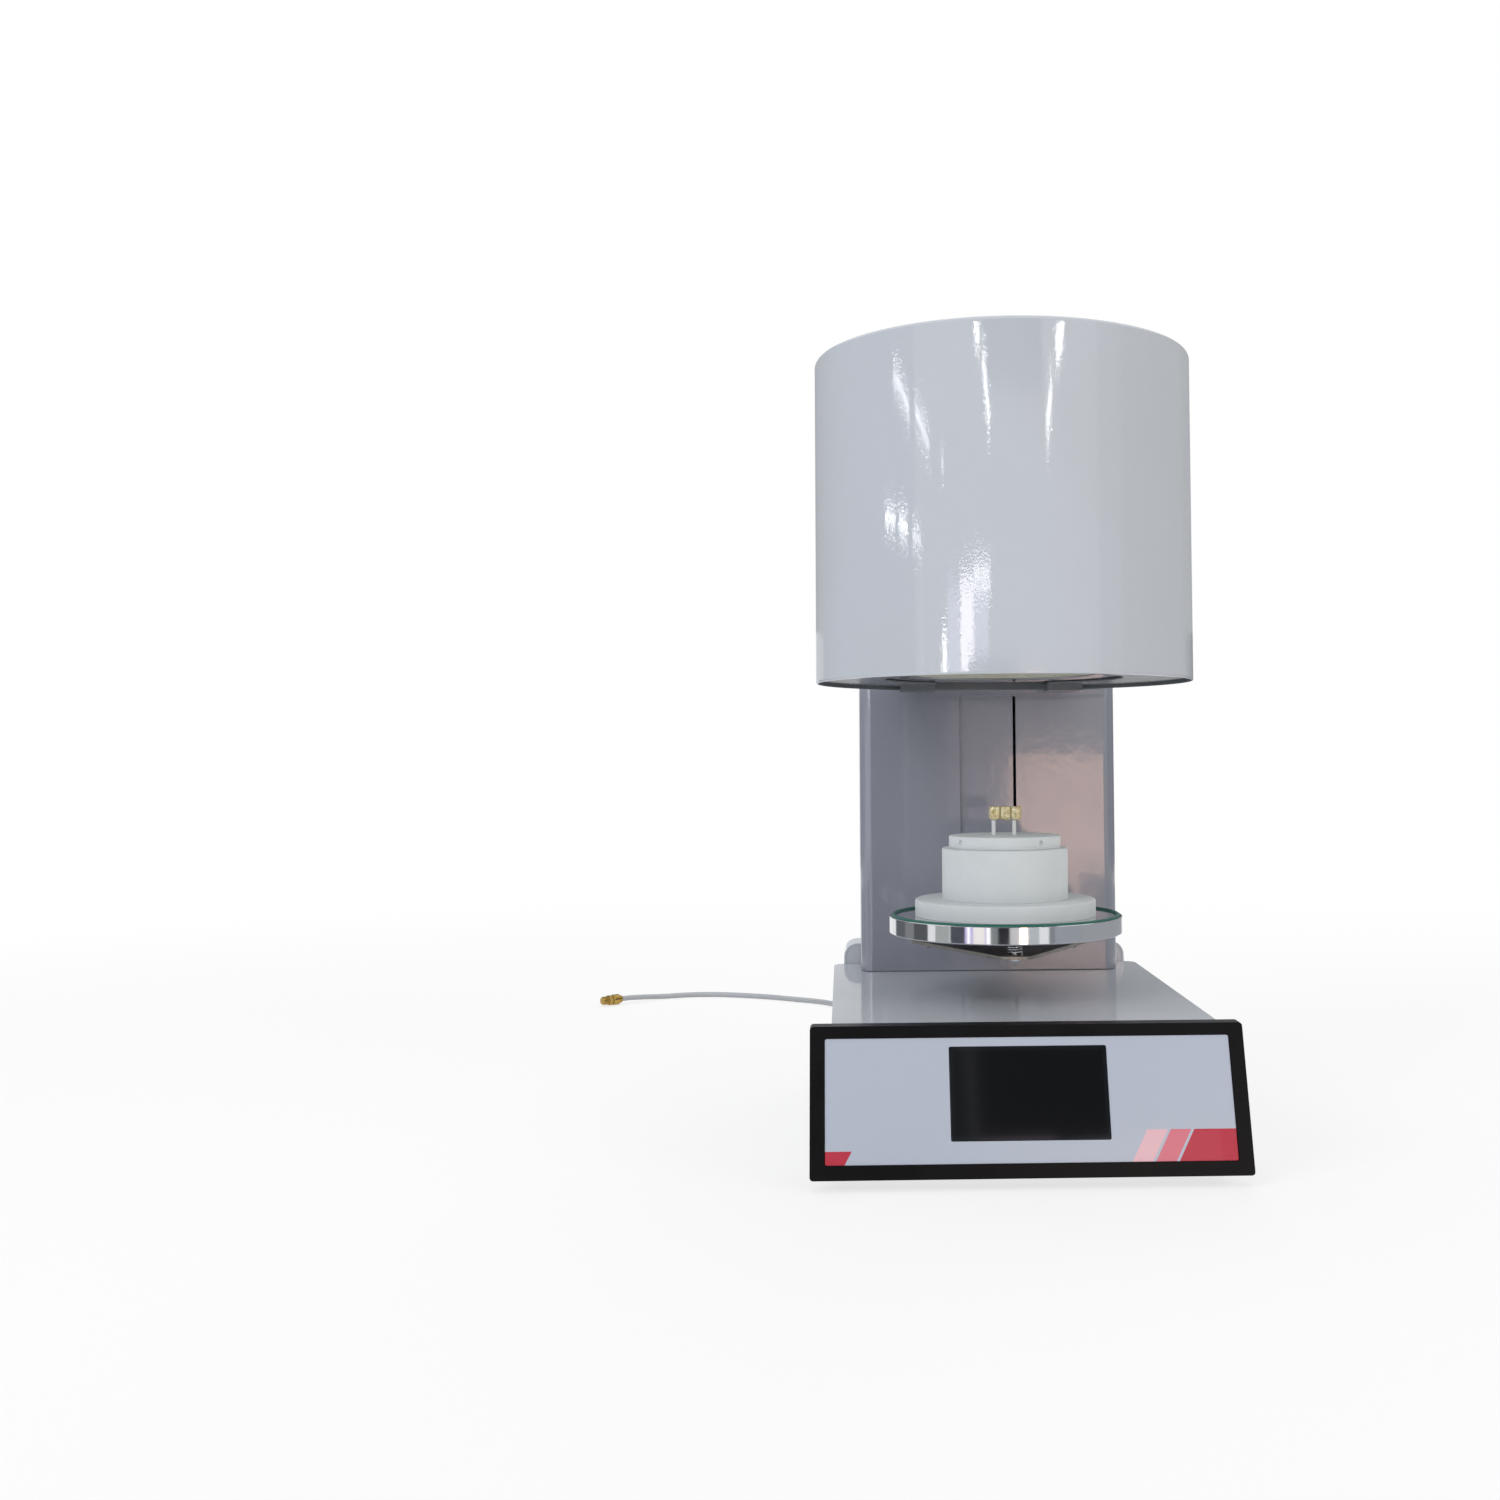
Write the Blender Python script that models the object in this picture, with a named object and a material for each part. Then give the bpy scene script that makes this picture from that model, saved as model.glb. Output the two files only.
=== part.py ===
"""Dental porcelain furnace: a fixed firing head over a lift that carries the firing table.

Metres, +Z up. The control front faces -Y, and the origin lies on the table top under the
middle of the furnace. Each piece is one object, parented to the empty of the body it moves with.
"""

import math

import bmesh
import bpy
from mathutils import Matrix, Vector

# Whole furnace
FOOT_HEIGHT = 0.008
FOOT_RADIUS = 0.011
FOOT_TAPER = 0.0015
FOOT_SIDE_INSET = 0.020
FOOT_FRONT_INSET = 0.030
FOOT_REAR_INSET = 0.014
SEAT_GAP = 0.0003
RUNNING_GAP = 0.0004
OVERRUN = 0.004
SHEET = 0.0016
EDGE_ROUND = 0.0012
MERGE_DISTANCE = 0.0000001

# Control front, along its slope
BEZEL_WIDTH = 0.300
BEZEL_SLOPE = 0.1021
BEZEL_LEAN = math.radians(17.9)
BEZEL_THICKNESS = 0.012
BEZEL_SIDE_BORDER = 0.010
BEZEL_LOWER_BORDER = 0.0097
BEZEL_UPPER_BORDER = 0.008
OVERLAY_RECESS = 0.0008
OVERLAY_THICKNESS = 0.0012
SCREEN_WIDTH = 0.1083
SCREEN_HEIGHT = 0.0625
SCREEN_RISE = 0.0249
SCREEN_RECESS = 0.0012
SCREEN_THICKNESS = 0.0065
BOARD_WIDTH = 0.150
BOARD_HEIGHT = 0.070
BOARD_THICKNESS = 0.0016
BOARD_PART_HEIGHT = 0.008
# Chips on the board: middle across and up as shares of its width and height, half size as a share of its height
BOARD_PART_SHARES = ((-0.30, 0.20, 0.12), (0.05, -0.05, 0.18), (0.32, 0.22, 0.10), (-0.22, -0.28, 0.08))

# Base
DECK_WIDTH = 0.270
DECK_HEIGHT = 0.097
DECK_REAR_MARGIN = 0.0004
DECK_CORNER = 0.010
PAN_WALL = 0.014
HOUSING_SIDE_STEP = 0.009
HOUSING_HEIGHT = 0.115
HOUSING_DEPTH = 0.0412
HOUSING_CORNER = 0.012
SUPPLY_SIZE = (0.060, 0.110, 0.045)
SUPPLY_SIDE_INSET = 0.027
SUPPLY_AXIS_OFFSET = 0.0314

# Column
COLUMN_WIDTH = 0.2228
COLUMN_DEPTH = 0.0532
COLUMN_TOP = 0.575
COLUMN_SHEET = 0.002
COLUMN_CORNER = 0.011
CAP_THICKNESS = 0.003
SLOT_WIDTH = 0.0485
SLOT_TOP = 0.3345
SLOT_END_PLAY = 0.0007
DECK_WELL_MARGIN = 0.004
MAST_LIP = 0.010
MAST_TOP_DROP = 0.030

# Lift: every height here is taken from the lower edge of the control front
LIFT_AXIS = 0.1686
PLATFORM_RADIUS = 0.0906
PLATFORM_THICKNESS = 0.0133
PLATFORM_TOP = 0.159
PLATFORM_EDGE = 0.0008
SEAL_RING_RADIUS = 0.0872
SEAL_CORD = 0.0040
SEAL_PROUD = 0.0016
LEVEL_PLATE_REACH = 0.0800
LEVEL_PLATE_TIP = 0.020
LEVEL_PLATE_THICKNESS = 0.0025
LEVEL_PLATE_TOP = 0.1365
LEVEL_SCREW_REACH = 0.0680
LEVEL_SCREW_RADIUS = 0.002
LEVEL_HEAD_RADIUS = 0.0040
LEVEL_HEAD_HEIGHT = 0.0055
LEVEL_SCREW_BITE = 0.006
LEVEL_NAMES = ("front", "right", "left")
SPRING_RADIUS = 0.0053
SPRING_WIRE = 0.0012
SPRING_CURLS = 4
SPRING_POINTS = 9
ARM_WIDTH = 0.032
ARM_ROOT_HEIGHT = 0.0145
ARM_TIP_HEIGHT = 0.008
ARM_TIP_REACH = 0.004
COVER_LEFT = 0.030
COVER_RIGHT = 0.0222
COVER_THICKNESS = 0.0016
COVER_BOTTOM = 0.012
COVER_TOP = 0.355
COVER_SIDE_PLAY = 0.001
CARRIAGE_WIDTH = 0.156
CARRIAGE_DEPTH = 0.030
CARRIAGE_HEIGHT = 0.040
CARRIAGE_BOTTOM = 0.1128
ROD_RADIUS = 0.006
ROD_SPREAD = 0.060
SCREW_RADIUS = 0.005
NUT_RADIUS = 0.008
NUT_FLANGE_RADIUS = 0.0125
NUT_FLANGE_THICKNESS = 0.004
COUPLER_RADIUS = 0.009
COUPLER_HEIGHT = 0.016
MOTOR_SIDE = 0.042
MOTOR_HEIGHT = 0.048
MOTOR_CORNER = 0.004
MOTOR_SHAFT_RADIUS = 0.0025
MOTOR_SHAFT_SINK = 0.008
MAST_PLATE_THICKNESS = 0.006
MAST_BOTTOM_WIDTH = 0.230
JOURNAL_RADIUS = 0.004

# Firing table
BASE_DISC_RADIUS = 0.0703
BASE_DISC_HEIGHT = 0.0125
PLUG_RADIUS = 0.0490
PLUG_HEIGHT = 0.0393
TRAY_RADIUS = 0.0435
TRAY_HEIGHT = 0.0094
TRAY_DIMPLE_RADIUS = 0.0017
TRAY_DIMPLE_DEPTH = 0.0020
TRAY_DIMPLES = 4
TRAY_DIMPLE_TURN = math.radians(-56.5)
CERAMIC_EDGE = 0.0015
PIN_RADIUS = 0.0016
PIN_HEIGHT = 0.0190
PIN_SINK = 0.0045
PIN_BITE = 0.0035
PIN_LEFT = -0.0084
PIN_RIGHT = 0.0077
CROWN_WIDTH = 0.0084
CROWN_DEPTH = 0.0098
CROWN_HEIGHT = 0.0122
CROWN_ROUND = 0.0026
CROWN_OVERLAP_SHARE = 0.60
CROWN_OFFSET = 0.0011

# Firing head
HEAD_RADIUS = 0.1467
HEAD_BITE = 0.0139
HEAD_BOTTOM = 0.340
HEAD_TOP = 0.591
HEAD_SHOULDER = 0.003
HEAD_SHEET = 0.002
HEAD_PLATE_THICKNESS = 0.0015
HEAD_PLATE_RISE = 0.0032
HEAD_BRACKET_WIDTH = 0.029
HEAD_BRACKET_DEPTH = 0.028
HEAD_BRACKET_HEIGHT = 0.0069
HEAD_BRACKET_REACH = 0.0914
HEAD_OPENING_RADIUS = 0.0935
HEAD_NOTCH_HALF = 0.0478
FLANGE_RADIUS = 0.106
FLANGE_THICKNESS = 0.0065
FLANGE_MOUTH_RADIUS = 0.080
FLANGE_BORE_RADIUS = 0.0735
FLANGE_LIP = 0.0020
FLANGE_MOUTH_RISE = 0.0016
CAN_RADIUS = 0.098
CAN_SHEET = 0.002
MUFFLE_CLEARANCE = 0.0015
MUFFLE_FLOOR_HEIGHT = 0.048
MUFFLE_WALL_HEIGHT = 0.074
MUFFLE_WALL_RADIUS = 0.0620
HEATER_BORE = 0.0560
MUFFLE_ROOF_HEIGHT = 0.045
PROBE_RADIUS = 0.0025
PROBE_REACH = 0.0035
PROBE_HEAD_RADIUS = 0.009
PROBE_HEAD_HEIGHT = 0.014

# Rear fittings: X place, then height over the table
REAR_PROUD = 0.0035
INLET_PLACE = (-0.020, 0.058)
INLET_SIZE = (0.0275, 0.0200)
INLET_FLANGE = (0.0320, 0.0250)
INLET_WELL = (0.0240, 0.0165)
INLET_DEPTH = 0.020
INLET_WELL_DEPTH = 0.016
INLET_BLADE = (0.0020, 0.0105, 0.0040)
INLET_BLADE_SPREAD = 0.007
BLADE_ROOT = 0.002
OUTLET_PLACE = (-0.062, 0.058)
OUTLET_SLOT = (0.0022, 0.0050)
SWITCH_PLACE = (0.018, 0.052)
SWITCH_SIZE = (0.0135, 0.0190)
SWITCH_FLANGE = (0.0150, 0.0210)
SWITCH_WALL = 0.0015
SWITCH_LIP = 0.0012
ROCKER_THICKNESS = 0.0050
ROCKER_TILT = math.radians(8)
FAN_PLACE = (0.078, 0.062)
FAN_SIDE = 0.060
FAN_DEPTH = 0.020
FAN_CORNER = 0.004
FAN_BORE = 0.0280
FAN_HUB_RADIUS = 0.0120
FAN_BLADES = 7
FAN_BLADE_THICKNESS = 0.0012
FAN_BLADE_TWIST = math.radians(32)
FAN_BLADE_CHORD = 0.012
FAN_AXLE_RADIUS = 0.0020
FAN_STRUT = 0.0030
VENT_SLOTS = 7
VENT_WIDTH = 0.052
VENT_SLOT_HEIGHT = 0.0038
PORT_PLACE = (-0.100, 0.040)
PORT_RADIUS = 0.0060
PORT_COLLAR_RADIUS = 0.0050
PORT_LENGTH = 0.014
PORT_COLLAR_LENGTH = 0.005

# Vacuum hose
HOSE_DIAMETER = 0.006
HOSE_FLOOR_GAP = 0.0002
COIL_INNER_RADIUS = 0.0265
COIL_PITCH = 0.0066
COIL_TURNS = 2.25
COIL_POINTS = 24
COIL_Y = 0.300
FITTING_RADIUS = 0.0062
FITTING_LENGTH = 0.026
FITTING_COLLAR_LENGTH = 0.006
HOSE_STEP_SHARE = 2.2
ROUTE_DIVISIONS = 12
# Route from the port's face down to the start of the coil
PORT_RUN = (
    (-0.100, 0.2111, 0.0400),
    (-0.100, 0.2250, 0.0400),
    (-0.100, 0.2426, 0.0350),
    (-0.100, 0.2550, 0.0216),
    (-0.100, 0.2674, 0.0082),
    (-0.100, 0.2850, 0.0032),
    (-0.100, 0.2937, 0.0032),
)
# Route from the end of the coil along the table to the fitting
PUMP_RUN = (
    (-0.1000, 0.3063, 0.0098),
    (-0.1000, 0.3250, 0.0095),
    (-0.1005, 0.3450, 0.0070),
    (-0.1012, 0.3700, 0.0034),
    (-0.1025, 0.4100, 0.0032),
    (-0.1050, 0.4600, 0.0032),
    (-0.1130, 0.5150, 0.0032),
    (-0.1441, 0.5762, 0.0032),
    (-0.1907, 0.6112, 0.0032),
    (-0.2275, 0.6327, 0.0032),
    (-0.2767, 0.6500, 0.0032),
    (-0.3130, 0.6501, 0.0032),
    (-0.3430, 0.6380, 0.0036),
    (-0.3650, 0.6225, 0.0054),
    (-0.3790, 0.6118, 0.0064),
    (-0.3890, 0.6040, 0.0065),
)

ROUND_STEPS = 48
FINE_STEPS = 16
ARC_STEPS = 8


# Places worked out from the sizes above: the head's round reaches past the column's front by its bite
HOUSING_WIDTH = DECK_WIDTH - 2 * HOUSING_SIDE_STEP
DECK_DEPTH = LIFT_AXIS + HEAD_RADIUS - HEAD_BITE + COLUMN_DEPTH + DECK_REAR_MARGIN
BODY_DEPTH = DECK_DEPTH + SEAT_GAP + HOUSING_DEPTH + REAR_PROUD
FRONT_Y = -BODY_DEPTH / 2
AXIS_Y = FRONT_Y + LIFT_AXIS
COLUMN_Y = AXIS_Y + HEAD_RADIUS - HEAD_BITE
COLUMN_BACK_Y = COLUMN_Y + COLUMN_DEPTH
MAST_Y = (COLUMN_Y + COLUMN_SHEET + COLUMN_BACK_Y - COLUMN_SHEET) / 2
DECK_BACK_Y = FRONT_Y + DECK_DEPTH
DECK_Z = FOOT_HEIGHT + DECK_HEIGHT
REAR_Y = BODY_DEPTH / 2 - REAR_PROUD
PLATFORM_BOTTOM_Z = FOOT_HEIGHT + PLATFORM_TOP - PLATFORM_THICKNESS
PLATFORM_TOP_Z = FOOT_HEIGHT + PLATFORM_TOP
LEVEL_PLATE_Z = FOOT_HEIGHT + LEVEL_PLATE_TOP - LEVEL_PLATE_THICKNESS
CARRIAGE_Z = FOOT_HEIGHT + CARRIAGE_BOTTOM
HEAD_Z = FOOT_HEIGHT + HEAD_BOTTOM
HEAD_PLATE_Z = HEAD_Z + HEAD_PLATE_RISE
FLANGE_Z = HEAD_PLATE_Z + HEAD_PLATE_THICKNESS + SEAT_GAP
CAN_Z = FLANGE_Z + FLANGE_THICKNESS + SEAT_GAP
MUFFLE_Z = FLANGE_Z + FLANGE_LIP + SEAT_GAP
MUFFLE_RADIUS = CAN_RADIUS - CAN_SHEET - SEAT_GAP
MUFFLE_WALL_Z = MUFFLE_Z + MUFFLE_FLOOR_HEIGHT + SEAT_GAP
MUFFLE_ROOF_Z = MUFFLE_WALL_Z + MUFFLE_WALL_HEIGHT + SEAT_GAP
BASE_DISC_Z = PLATFORM_TOP_Z + SEAT_GAP
PLUG_Z = BASE_DISC_Z + BASE_DISC_HEIGHT + SEAT_GAP
TRAY_Z = PLUG_Z + PLUG_HEIGHT + SEAT_GAP
TRAY_TOP_Z = TRAY_Z + TRAY_HEIGHT
PIN_Z = TRAY_TOP_Z - PIN_SINK
CROWN_Z = PIN_Z + PIN_HEIGHT - PIN_BITE
CORD_Z = HOSE_DIAMETER / 2 + HOSE_FLOOR_GAP

COLOURS = {
    "white_enamel": ("#c3c8ce", 0.22, 0.0),
    "grey_enamel": ("#7b7f8b", 0.28, 0.0),
    "black_abs": ("#1b1b1e", 0.38, 0.0),
    "printed_overlay": ("#b4bccb", 0.35, 0.0),
    "screen_glass": ("#17191b", 0.08, 0.0),
    "machined_aluminium": ("#b9bbbf", 0.25, 1.0),
    "steel": ("#8f9296", 0.30, 1.0),
    "zinc_sheet": ("#a4a7aa", 0.40, 1.0),
    "brass": ("#b59a58", 0.30, 1.0),
    "spring_steel": ("#a9acb0", 0.22, 1.0),
    "teal_silicone": ("#17594d", 0.45, 0.0),
    "ceramic_fibre": ("#d0d4d6", 0.90, 0.0),
    "alumina": ("#cdd1d3", 0.75, 0.0),
    "muffle_fibre": ("#b3b49c", 0.92, 0.0),
    "zirconia": ("#c4aa58", 0.30, 0.0),
    "quartz": ("#d9dcd8", 0.15, 0.0),
    "rubber": ("#202022", 0.80, 0.0),
    "polyurethane": ("#d8dade", 0.35, 0.0),
    "black_nylon": ("#222326", 0.50, 0.0),
    "circuit_board": ("#1f5a38", 0.50, 0.0),
}


def linear(channel):
    """Turn one sRGB channel into scene-linear light."""
    return channel / 12.92 if channel <= 0.04045 else ((channel + 0.055) / 1.055) ** 2.4


def make_material(name):
    """Return the named Principled material, made on its first use."""
    found = bpy.data.materials.get(name)
    if found:
        return found
    code, roughness, metallic = COLOURS[name]
    colour = [linear(int(code[i : i + 2], 16) / 255) for i in (1, 3, 5)]
    result = bpy.data.materials.new(name)
    result.use_nodes = True
    shader = result.node_tree.nodes["Principled BSDF"]
    shader.inputs["Base Color"].default_value = (*colour, 1)
    shader.inputs["Roughness"].default_value = roughness
    shader.inputs["Metallic"].default_value = metallic
    result.diffuse_color = (*colour, 1)
    return result


def clear_scene():
    """Remove every object that the file opened with."""
    for old in list(bpy.data.objects):
        bpy.data.objects.remove(old, do_unlink=True)


def add_body(name, place=(0, 0, 0), parent=None):
    """Add the empty that carries one rigid body, on its joint's axis."""
    empty = bpy.data.objects.new(name, None)
    bpy.context.scene.collection.objects.link(empty)
    empty.location = place
    empty.empty_display_size = FOOT_RADIUS
    bpy.context.view_layer.update()
    if parent:
        attach(empty, parent)
    return empty


def attach(obj, parent):
    """Parent an object without moving it."""
    obj.parent = parent
    obj.matrix_parent_inverse = parent.matrix_world.inverted()
    bpy.context.view_layer.update()


def add_piece(name, bm, place, material, body, turn=(0, 0, 0)):
    """Make one object from a bmesh, with its origin at its place."""
    bmesh.ops.recalc_face_normals(bm, faces=bm.faces)
    mesh = bpy.data.meshes.new(name)
    bm.to_mesh(mesh)
    bm.free()
    obj = bpy.data.objects.new(name, mesh)
    bpy.context.scene.collection.objects.link(obj)
    obj.location = place
    obj.rotation_euler = turn
    if material:
        mesh.materials.append(make_material(material))
    mesh.shade_smooth()
    mesh.set_sharp_from_angle(angle=math.radians(35))
    bpy.context.view_layer.update()
    if body:
        attach(obj, body)
    return obj


def boolean(obj, tool, operation):
    """Apply one exact Boolean, with the tool kept as a hidden guide."""
    tool.hide_render = True
    tool.display_type = "WIRE"
    if obj.parent:
        attach(tool, obj.parent)
    step = obj.modifiers.new(tool.name, "BOOLEAN")
    step.operation = operation
    step.object = tool


def cut(obj, bm, place, turn=(0, 0, 0)):
    """Cut a bmesh shape out of an object."""
    tool = add_piece("cut_" + obj.name + "_" + str(len(obj.modifiers)), bm, place, None, None, turn)
    boolean(obj, tool, "DIFFERENCE")


def fuse(obj, bm, place, turn=(0, 0, 0)):
    """Join a bmesh shape to an object that it overlaps."""
    tool = add_piece("join_" + obj.name + "_" + str(len(obj.modifiers)), bm, place, None, None, turn)
    boolean(obj, tool, "UNION")


def arc(centre, radius, start, end, steps=ARC_STEPS):
    """Points on an arc from one angle to another."""
    turns = [start + (end - start) * i / steps for i in range(steps + 1)]
    return [(centre[0] + radius * math.cos(t), centre[1] + radius * math.sin(t)) for t in turns]


def rounded_rectangle(width, height, radius, steps=ARC_STEPS // 2):
    """Outline of a rectangle about the origin with four round corners."""
    x, y = width / 2 - radius, height / 2 - radius
    corners = [((x, y), 0), ((-x, y), 1), ((-x, -y), 2), ((x, -y), 3)]
    quarter = math.pi / 2
    points = []
    for centre, number in corners:
        points += arc(centre, radius, number * quarter, (number + 1) * quarter, steps)
    return points


def prism(outline, height, axis="Z", bm=None, start=0):
    """Extrude an outline from start along an axis: XY along Z, XZ along Y, YZ along X."""
    bm = bm or bmesh.new()
    spots = {
        "Z": lambda a, b: (a, b, start),
        "Y": lambda a, b: (a, start, b),
        "X": lambda a, b: (start, a, b),
    }
    way = {"Z": Vector((0, 0, height)), "Y": Vector((0, height, 0)), "X": Vector((height, 0, 0))}
    face = bm.faces.new([bm.verts.new(spots[axis](a, b)) for a, b in outline])
    raised = bmesh.ops.extrude_face_region(bm, geom=[face])["geom"]
    moved = [part for part in raised if isinstance(part, bmesh.types.BMVert)]
    bmesh.ops.translate(bm, verts=moved, vec=way[axis])
    bmesh.ops.recalc_face_normals(bm, faces=bm.faces)
    return bm


def block(low, high, bm=None):
    """A box between two corners."""
    outline = [(low[0], low[1]), (high[0], low[1]), (high[0], high[1]), (low[0], high[1])]
    return prism(outline, high[2] - low[2], "Z", bm, low[2])


def slab(size, bm=None):
    """A box that stands on the origin: its width, depth and height."""
    low = (-size[0] / 2, -size[1] / 2, 0)
    return block(low, (size[0] / 2, size[1] / 2, size[2]), bm)


def turned(profile, steps=ROUND_STEPS):
    """Spin a profile of radius and height about Z; a profile off the axis is closed first."""
    bm = bmesh.new()
    verts = [bm.verts.new((radius, 0, height)) for radius, height in profile]
    edges = [bm.edges.new(pair) for pair in zip(verts, verts[1:])]
    if profile[0][0] or profile[-1][0]:
        edges.append(bm.edges.new((verts[-1], verts[0])))
    bmesh.ops.spin(
        bm, geom=verts + edges, cent=(0, 0, 0), axis=(0, 0, 1), angle=math.tau, steps=steps, use_merge=True
    )
    bmesh.ops.remove_doubles(bm, verts=bm.verts, dist=MERGE_DISTANCE)
    bmesh.ops.recalc_face_normals(bm, faces=bm.faces)
    return bm


def cylinder(radius, height, edge=0, steps=ROUND_STEPS, bore=0):
    """A disc or tube standing on the origin, with its rims broken by a chamfer."""
    outer = [(radius - edge, 0), (radius, edge), (radius, height - edge), (radius - edge, height)]
    if not edge:
        outer = [(radius, 0), (radius, height)]
    ends = [(bore, height), (bore, 0)]
    return turned([*outer, *ends] if bore else [(0, 0), *outer, (0, height)], steps)


def lie_along_y(bm):
    """Turn a shape that stands up so that it points along +Y."""
    bmesh.ops.rotate(bm, verts=bm.verts, cent=(0, 0, 0), matrix=Matrix.Rotation(-math.pi / 2, 3, "X"))
    return bm


def thicken(obj, thickness):
    """Give a sheet its thickness, inwards from its outer face."""
    step = obj.modifiers.new("sheet", "SOLIDIFY")
    step.thickness = thickness
    step.offset = -1
    step.use_even_offset = True


def round_edges(obj, width, segments=2, angle=math.radians(40)):
    """Round the sharp edges of a piece."""
    step = obj.modifiers.new("rounding", "BEVEL")
    step.width = width
    step.segments = segments
    step.limit_method = "ANGLE"
    step.angle_limit = angle
    step.use_clamp_overlap = True


def tube(name, points, diameter, material, body, resolution=2):
    """A round tube with filled ends through points in world space, with its origin at the first."""
    curve = bpy.data.curves.new(name, "CURVE")
    curve.dimensions = "3D"
    curve.resolution_u = 1
    curve.render_resolution_u = 0
    curve.bevel_depth = diameter / 2
    curve.bevel_resolution = resolution
    curve.use_fill_caps = True
    line = curve.splines.new("POLY")
    line.points.add(len(points) - 1)
    origin = Vector(points[0])
    for spot, point in zip(line.points, points):
        spot.co = (*(Vector(point) - origin), 1)
    curve.materials.append(make_material(material))
    obj = bpy.data.objects.new(name, curve)
    bpy.context.scene.collection.objects.link(obj)
    obj.location = origin
    bpy.context.view_layer.update()
    attach(obj, body)
    return obj


def least_gap(points, diameter, skip):
    """Least clear distance between parts of a wound tube that lie more than skip points apart."""
    spots = [Vector(point) for point in points]
    pairs = ((a, b) for i, a in enumerate(spots) for b in spots[i + skip :])
    return min((a - b).length for a, b in pairs) - diameter


def bevel_edges(bm, chosen, radius, segments=ARC_STEPS):
    """Round the edges of a bmesh that the given test picks by their two ends."""
    edges = [edge for edge in bm.edges if chosen(*(vert.co for vert in edge.verts))]
    bmesh.ops.bevel(bm, geom=edges, offset=radius, segments=segments, profile=0.5, affect="EDGES")


def open_side(bm, way):
    """Take away the faces that look along a direction."""
    gone = [face for face in bm.faces if face.normal.dot(Vector(way)) > 0.99]
    bmesh.ops.delete(bm, geom=gone, context="FACES")


def front_plane_y(height, depth=0):
    """Y of the sloping control front at a height over the table, at a depth behind its face."""
    rise = (height - FOOT_HEIGHT) * math.tan(BEZEL_LEAN)
    return FRONT_Y + rise + depth / math.cos(BEZEL_LEAN)


def build_control_front(body):
    """The sloping front: black frame, printed overlay, touch screen and its board."""
    place, turn = (0, FRONT_Y, FOOT_HEIGHT), (-BEZEL_LEAN, 0, 0)
    window_x = SCREEN_WIDTH / 2 + SEAT_GAP
    window_low, window_high = SCREEN_RISE - SEAT_GAP, SCREEN_RISE + SCREEN_HEIGHT + SEAT_GAP
    half, inner = BEZEL_WIDTH / 2, BEZEL_WIDTH / 2 - BEZEL_SIDE_BORDER
    low, high = BEZEL_LOWER_BORDER, BEZEL_SLOPE - BEZEL_UPPER_BORDER
    seat = OVERLAY_RECESS + OVERLAY_THICKNESS + SEAT_GAP

    level = BEZEL_THICKNESS * math.tan(BEZEL_LEAN)
    side = [(0, 0), (BEZEL_THICKNESS, level), (BEZEL_THICKNESS, BEZEL_SLOPE + level), (0, BEZEL_SLOPE)]
    frame = prism(side, BEZEL_WIDTH, "X", start=-half)
    bezel = add_piece("front_bezel", frame, place, "black_abs", body, turn)
    round_edges(bezel, EDGE_ROUND)
    cut(bezel, block((-inner, -OVERRUN, low), (inner, seat, high)), place, turn)
    window = ((-window_x, -OVERRUN, window_low), (window_x, BEZEL_THICKNESS + OVERRUN, window_high))
    cut(bezel, block(*window), place, turn)

    sheet_low = (SEAT_GAP - inner, OVERLAY_RECESS, low + SEAT_GAP)
    sheet_high = (inner - SEAT_GAP, OVERLAY_RECESS + OVERLAY_THICKNESS, high - SEAT_GAP)
    overlay = add_piece("overlay_panel", block(sheet_low, sheet_high), place, "printed_overlay", body, turn)
    cut(overlay, block(*window), place, turn)

    glass_low = (-SCREEN_WIDTH / 2, SCREEN_RECESS, SCREEN_RISE)
    glass_high = (SCREEN_WIDTH / 2, SCREEN_RECESS + SCREEN_THICKNESS, SCREEN_RISE + SCREEN_HEIGHT)
    add_piece("touch_screen", block(glass_low, glass_high), place, "screen_glass", body, turn)

    back = BEZEL_THICKNESS + SEAT_GAP
    middle = SCREEN_RISE + SCREEN_HEIGHT / 2
    board = block(
        (-BOARD_WIDTH / 2, back, middle - BOARD_HEIGHT / 2),
        (BOARD_WIDTH / 2, back + BOARD_THICKNESS, middle + BOARD_HEIGHT / 2),
    )
    control = add_piece("control_board", board, place, "circuit_board", body, turn)
    chips = bmesh.new()
    for share_x, share_z, size_share in BOARD_PART_SHARES:
        x, z = share_x * BOARD_WIDTH, middle + share_z * BOARD_HEIGHT
        reach = size_share * BOARD_HEIGHT
        start = back + BOARD_THICKNESS / 2
        block((x - reach, start, z - reach), (x + reach, start + BOARD_PART_HEIGHT, z + reach), chips)
    fuse(control, chips, place, turn)


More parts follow.
